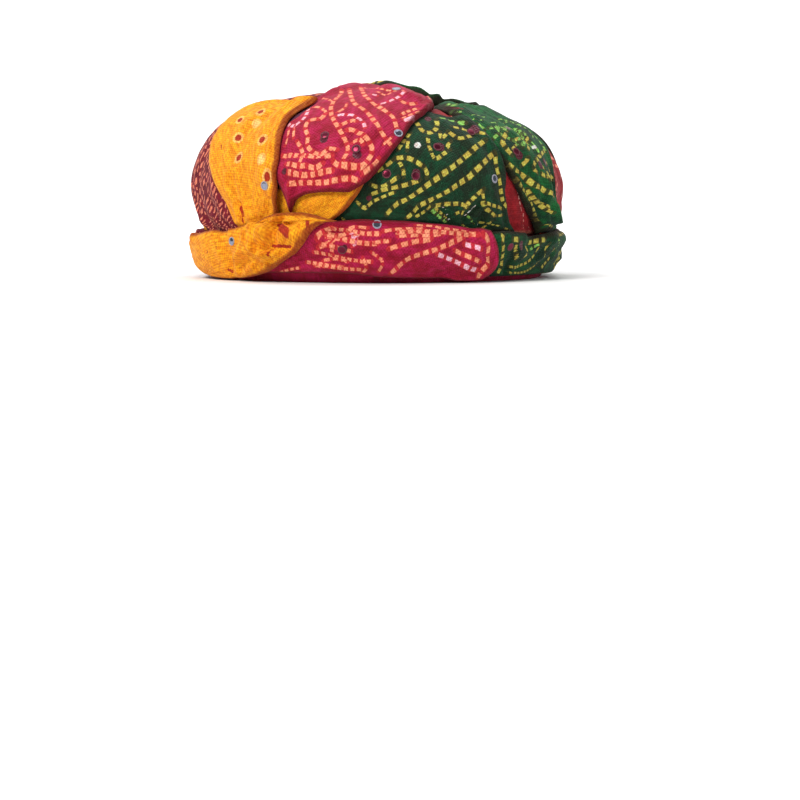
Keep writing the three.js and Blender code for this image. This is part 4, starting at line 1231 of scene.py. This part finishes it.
def build_mirror(number, turn, reach):
    """Round mirror held by a stitched ring of thread."""
    cloth = built[MIRROR_FOLDS[number]]
    corners = [v.co for v in cloth.data.vertices]
    tree = BVHTree.FromPolygons(corners, [p.vertices for p in cloth.data.polygons])
    plan = plan_of(turn, reach)[None]
    out = Vector(normal(plan)[0])
    start = Vector(to_frame(form(plan))[0]) + out * SEAT_START
    side = Vector((0, 0, 1)).cross(out).normalized()
    other = out.cross(side)
    seat = []
    for a, b in ((0, 0), (1, 0), (0, 1), (-1, 0), (0, -1)):
        seat.append(tree.ray_cast(start + (side * a + other * b) * SEAT_REACH * MM, -out)[0])
    up = (seat[1] - seat[3]).cross(seat[2] - seat[4]).normalized()
    highest = max((p - seat[0]).dot(up) for p in seat)
    hit = seat[0] + up * highest
    side = Vector((0, 0, 1)).cross(up).normalized()
    other = up.cross(side)
    sides = 36 if FINE else 16
    points, faces = [], []
    for radius, high in GLASS_ROWS:
        for i in range(sides):
            t = 2 * math.pi * i / sides
            points.append((radius * math.cos(t), radius * math.sin(t), high))
    top, base = len(points), len(points) + 1
    points += [(0, 0, GLASS_TOP), (0, 0, GLASS_ROWS[-1][1])]
    last = (len(GLASS_ROWS) - 1) * sides
    for i in range(sides):
        j = (i + 1) % sides
        faces.append((top, i, j))
        for k in range(0, last, sides):
            faces.append((k + i, k + sides + i, k + sides + j, k + j))
        faces.append((base, last + j, last + i))
    glassy = len(faces)
    around, section = (96 if FINE else 32), 8
    first = len(points)
    for i in range(around):
        t = 2 * math.pi * i / around
        swell = abs(math.sin(t * WRAPS / 2 + 0.4 * math.sin(3 * t + number)))
        thread = THREAD + THREAD_SWELL * swell
        for k in range(section):
            a = 2 * math.pi * k / section
            radius = THREAD_RADIUS + thread * math.cos(a)
            points.append((radius * math.cos(t), radius * math.sin(t), THREAD_HIGH + thread * math.sin(a)))
    for p, q, r, s in ring_faces(section, around):
        faces.append((first + p, first + s, first + r, first + q))
    world = [hit + (side * p[0] + other * p[1] + up * p[2]) * MM for p in points]
    obj = mesh_object(f"sewn_mirror_{number + 1:02d}", world, faces)
    for material in MIRROR_MATERIALS["foil" if number in FOIL_MIRRORS else "bright"]:
        obj.data.materials.append(material)
    obj.data.polygons.foreach_set("material_index", [0] * glassy + [1] * (len(faces) - glassy))
    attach(obj, "root")
    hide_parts(f"mirror_{number + 1:02d}")


build_lining()
build_roll()
MIRROR_MATERIALS = {kind: [mirror_material(*row) for row in rows] for kind, rows in MIRROR_LOOKS.items()}
for number, (turn, reach) in enumerate(MIRRORS):
    build_mirror(number, turn, reach)


# Studio lights: name, place, aim and size in metres, power in watts, colour
LIGHTS = [
    ("key", (-0.8, -1.0, 1.2), (0.0, 0.0, 0.05), (0.7, 0.7), 21.0, (1.0, 0.98, 0.95)),
    ("fill", (1.1, -1.0, 0.6), (0.0, 0.0, 0.05), (1.0, 0.8), 3.6, (0.96, 0.98, 1.0)),
    ("top", (0.1, 0.3, 1.4), (0.0, 0.0, 0.05), (1.0, 1.0), 6.5, (1.0, 1.0, 1.0)),
    ("backdrop_light", (0.0, 0.55, 1.6), (0.0, 1.6, 0.5), (3.0, 0.5), 34.0, (1.0, 1.0, 1.0)),
]


def area_light(name, place, aim, size, power, colour):
    data = bpy.data.lights.new(name, "AREA")
    data.shape = "RECTANGLE"
    data.size, data.size_y = size
    data.energy = power
    data.color = colour
    obj = bpy.data.objects.new(name, data)
    obj.location = place
    obj.rotation_mode = "QUATERNION"
    obj.rotation_quaternion = (Vector(aim) - Vector(place)).to_track_quat("-Z", "Y")
    bpy.context.collection.objects.link(obj)
    return obj


def build_room():
    """Pale floor that curves up into a backdrop."""
    front, back, rise, radius, wide = -3.0, 1.6, 3.0, 0.9, 4.0
    profile = [(front, 0.0), (back - radius, 0.0)]
    for t in np.linspace(0, math.pi / 2, 24)[1:]:
        profile.append((back - radius + radius * math.sin(t), radius - radius * math.cos(t)))
    profile.append((back, rise))
    points = [(x, y, z) for y, z in profile for x in (-wide, wide)]
    faces = [(2 * i, 2 * i + 1, 2 * i + 3, 2 * i + 2) for i in range(len(profile) - 1)]
    floor = mesh_object("floor", points, faces)
    paper = {"Base Color": (0.88, 0.88, 0.88, 1.0), "Roughness": 0.9, "Specular IOR Level": 0.1}
    floor.data.materials.append(Nodes("floor_paper").surface(paper))
    [area_light(*row) for row in LIGHTS]
    world = bpy.data.worlds.new("room")
    world.use_nodes = True
    background = world.node_tree.nodes["Background"]
    background.inputs["Color"].default_value = (0.9, 0.92, 0.95, 1.0)
    background.inputs["Strength"].default_value = 0.24
    bpy.context.scene.world = world


def build_camera():
    """The photograph's place and angle."""
    data = bpy.data.cameras.new("camera")
    data.lens = 50.94
    data.sensor_width = 36.0
    data.shift_x = 0.02625
    data.clip_start = 0.02
    data.clip_end = 20.0
    obj = bpy.data.objects.new("camera", data)
    obj.location = (-0.0005, -0.600, 0.020)
    obj.rotation_euler = ((90.0 - 8.2) * RAD, 0.0, 0.0)
    bpy.context.collection.objects.link(obj)
    bpy.context.scene.camera = obj


build_room()
build_camera()
bpy.context.scene.view_settings.view_transform = "Standard"
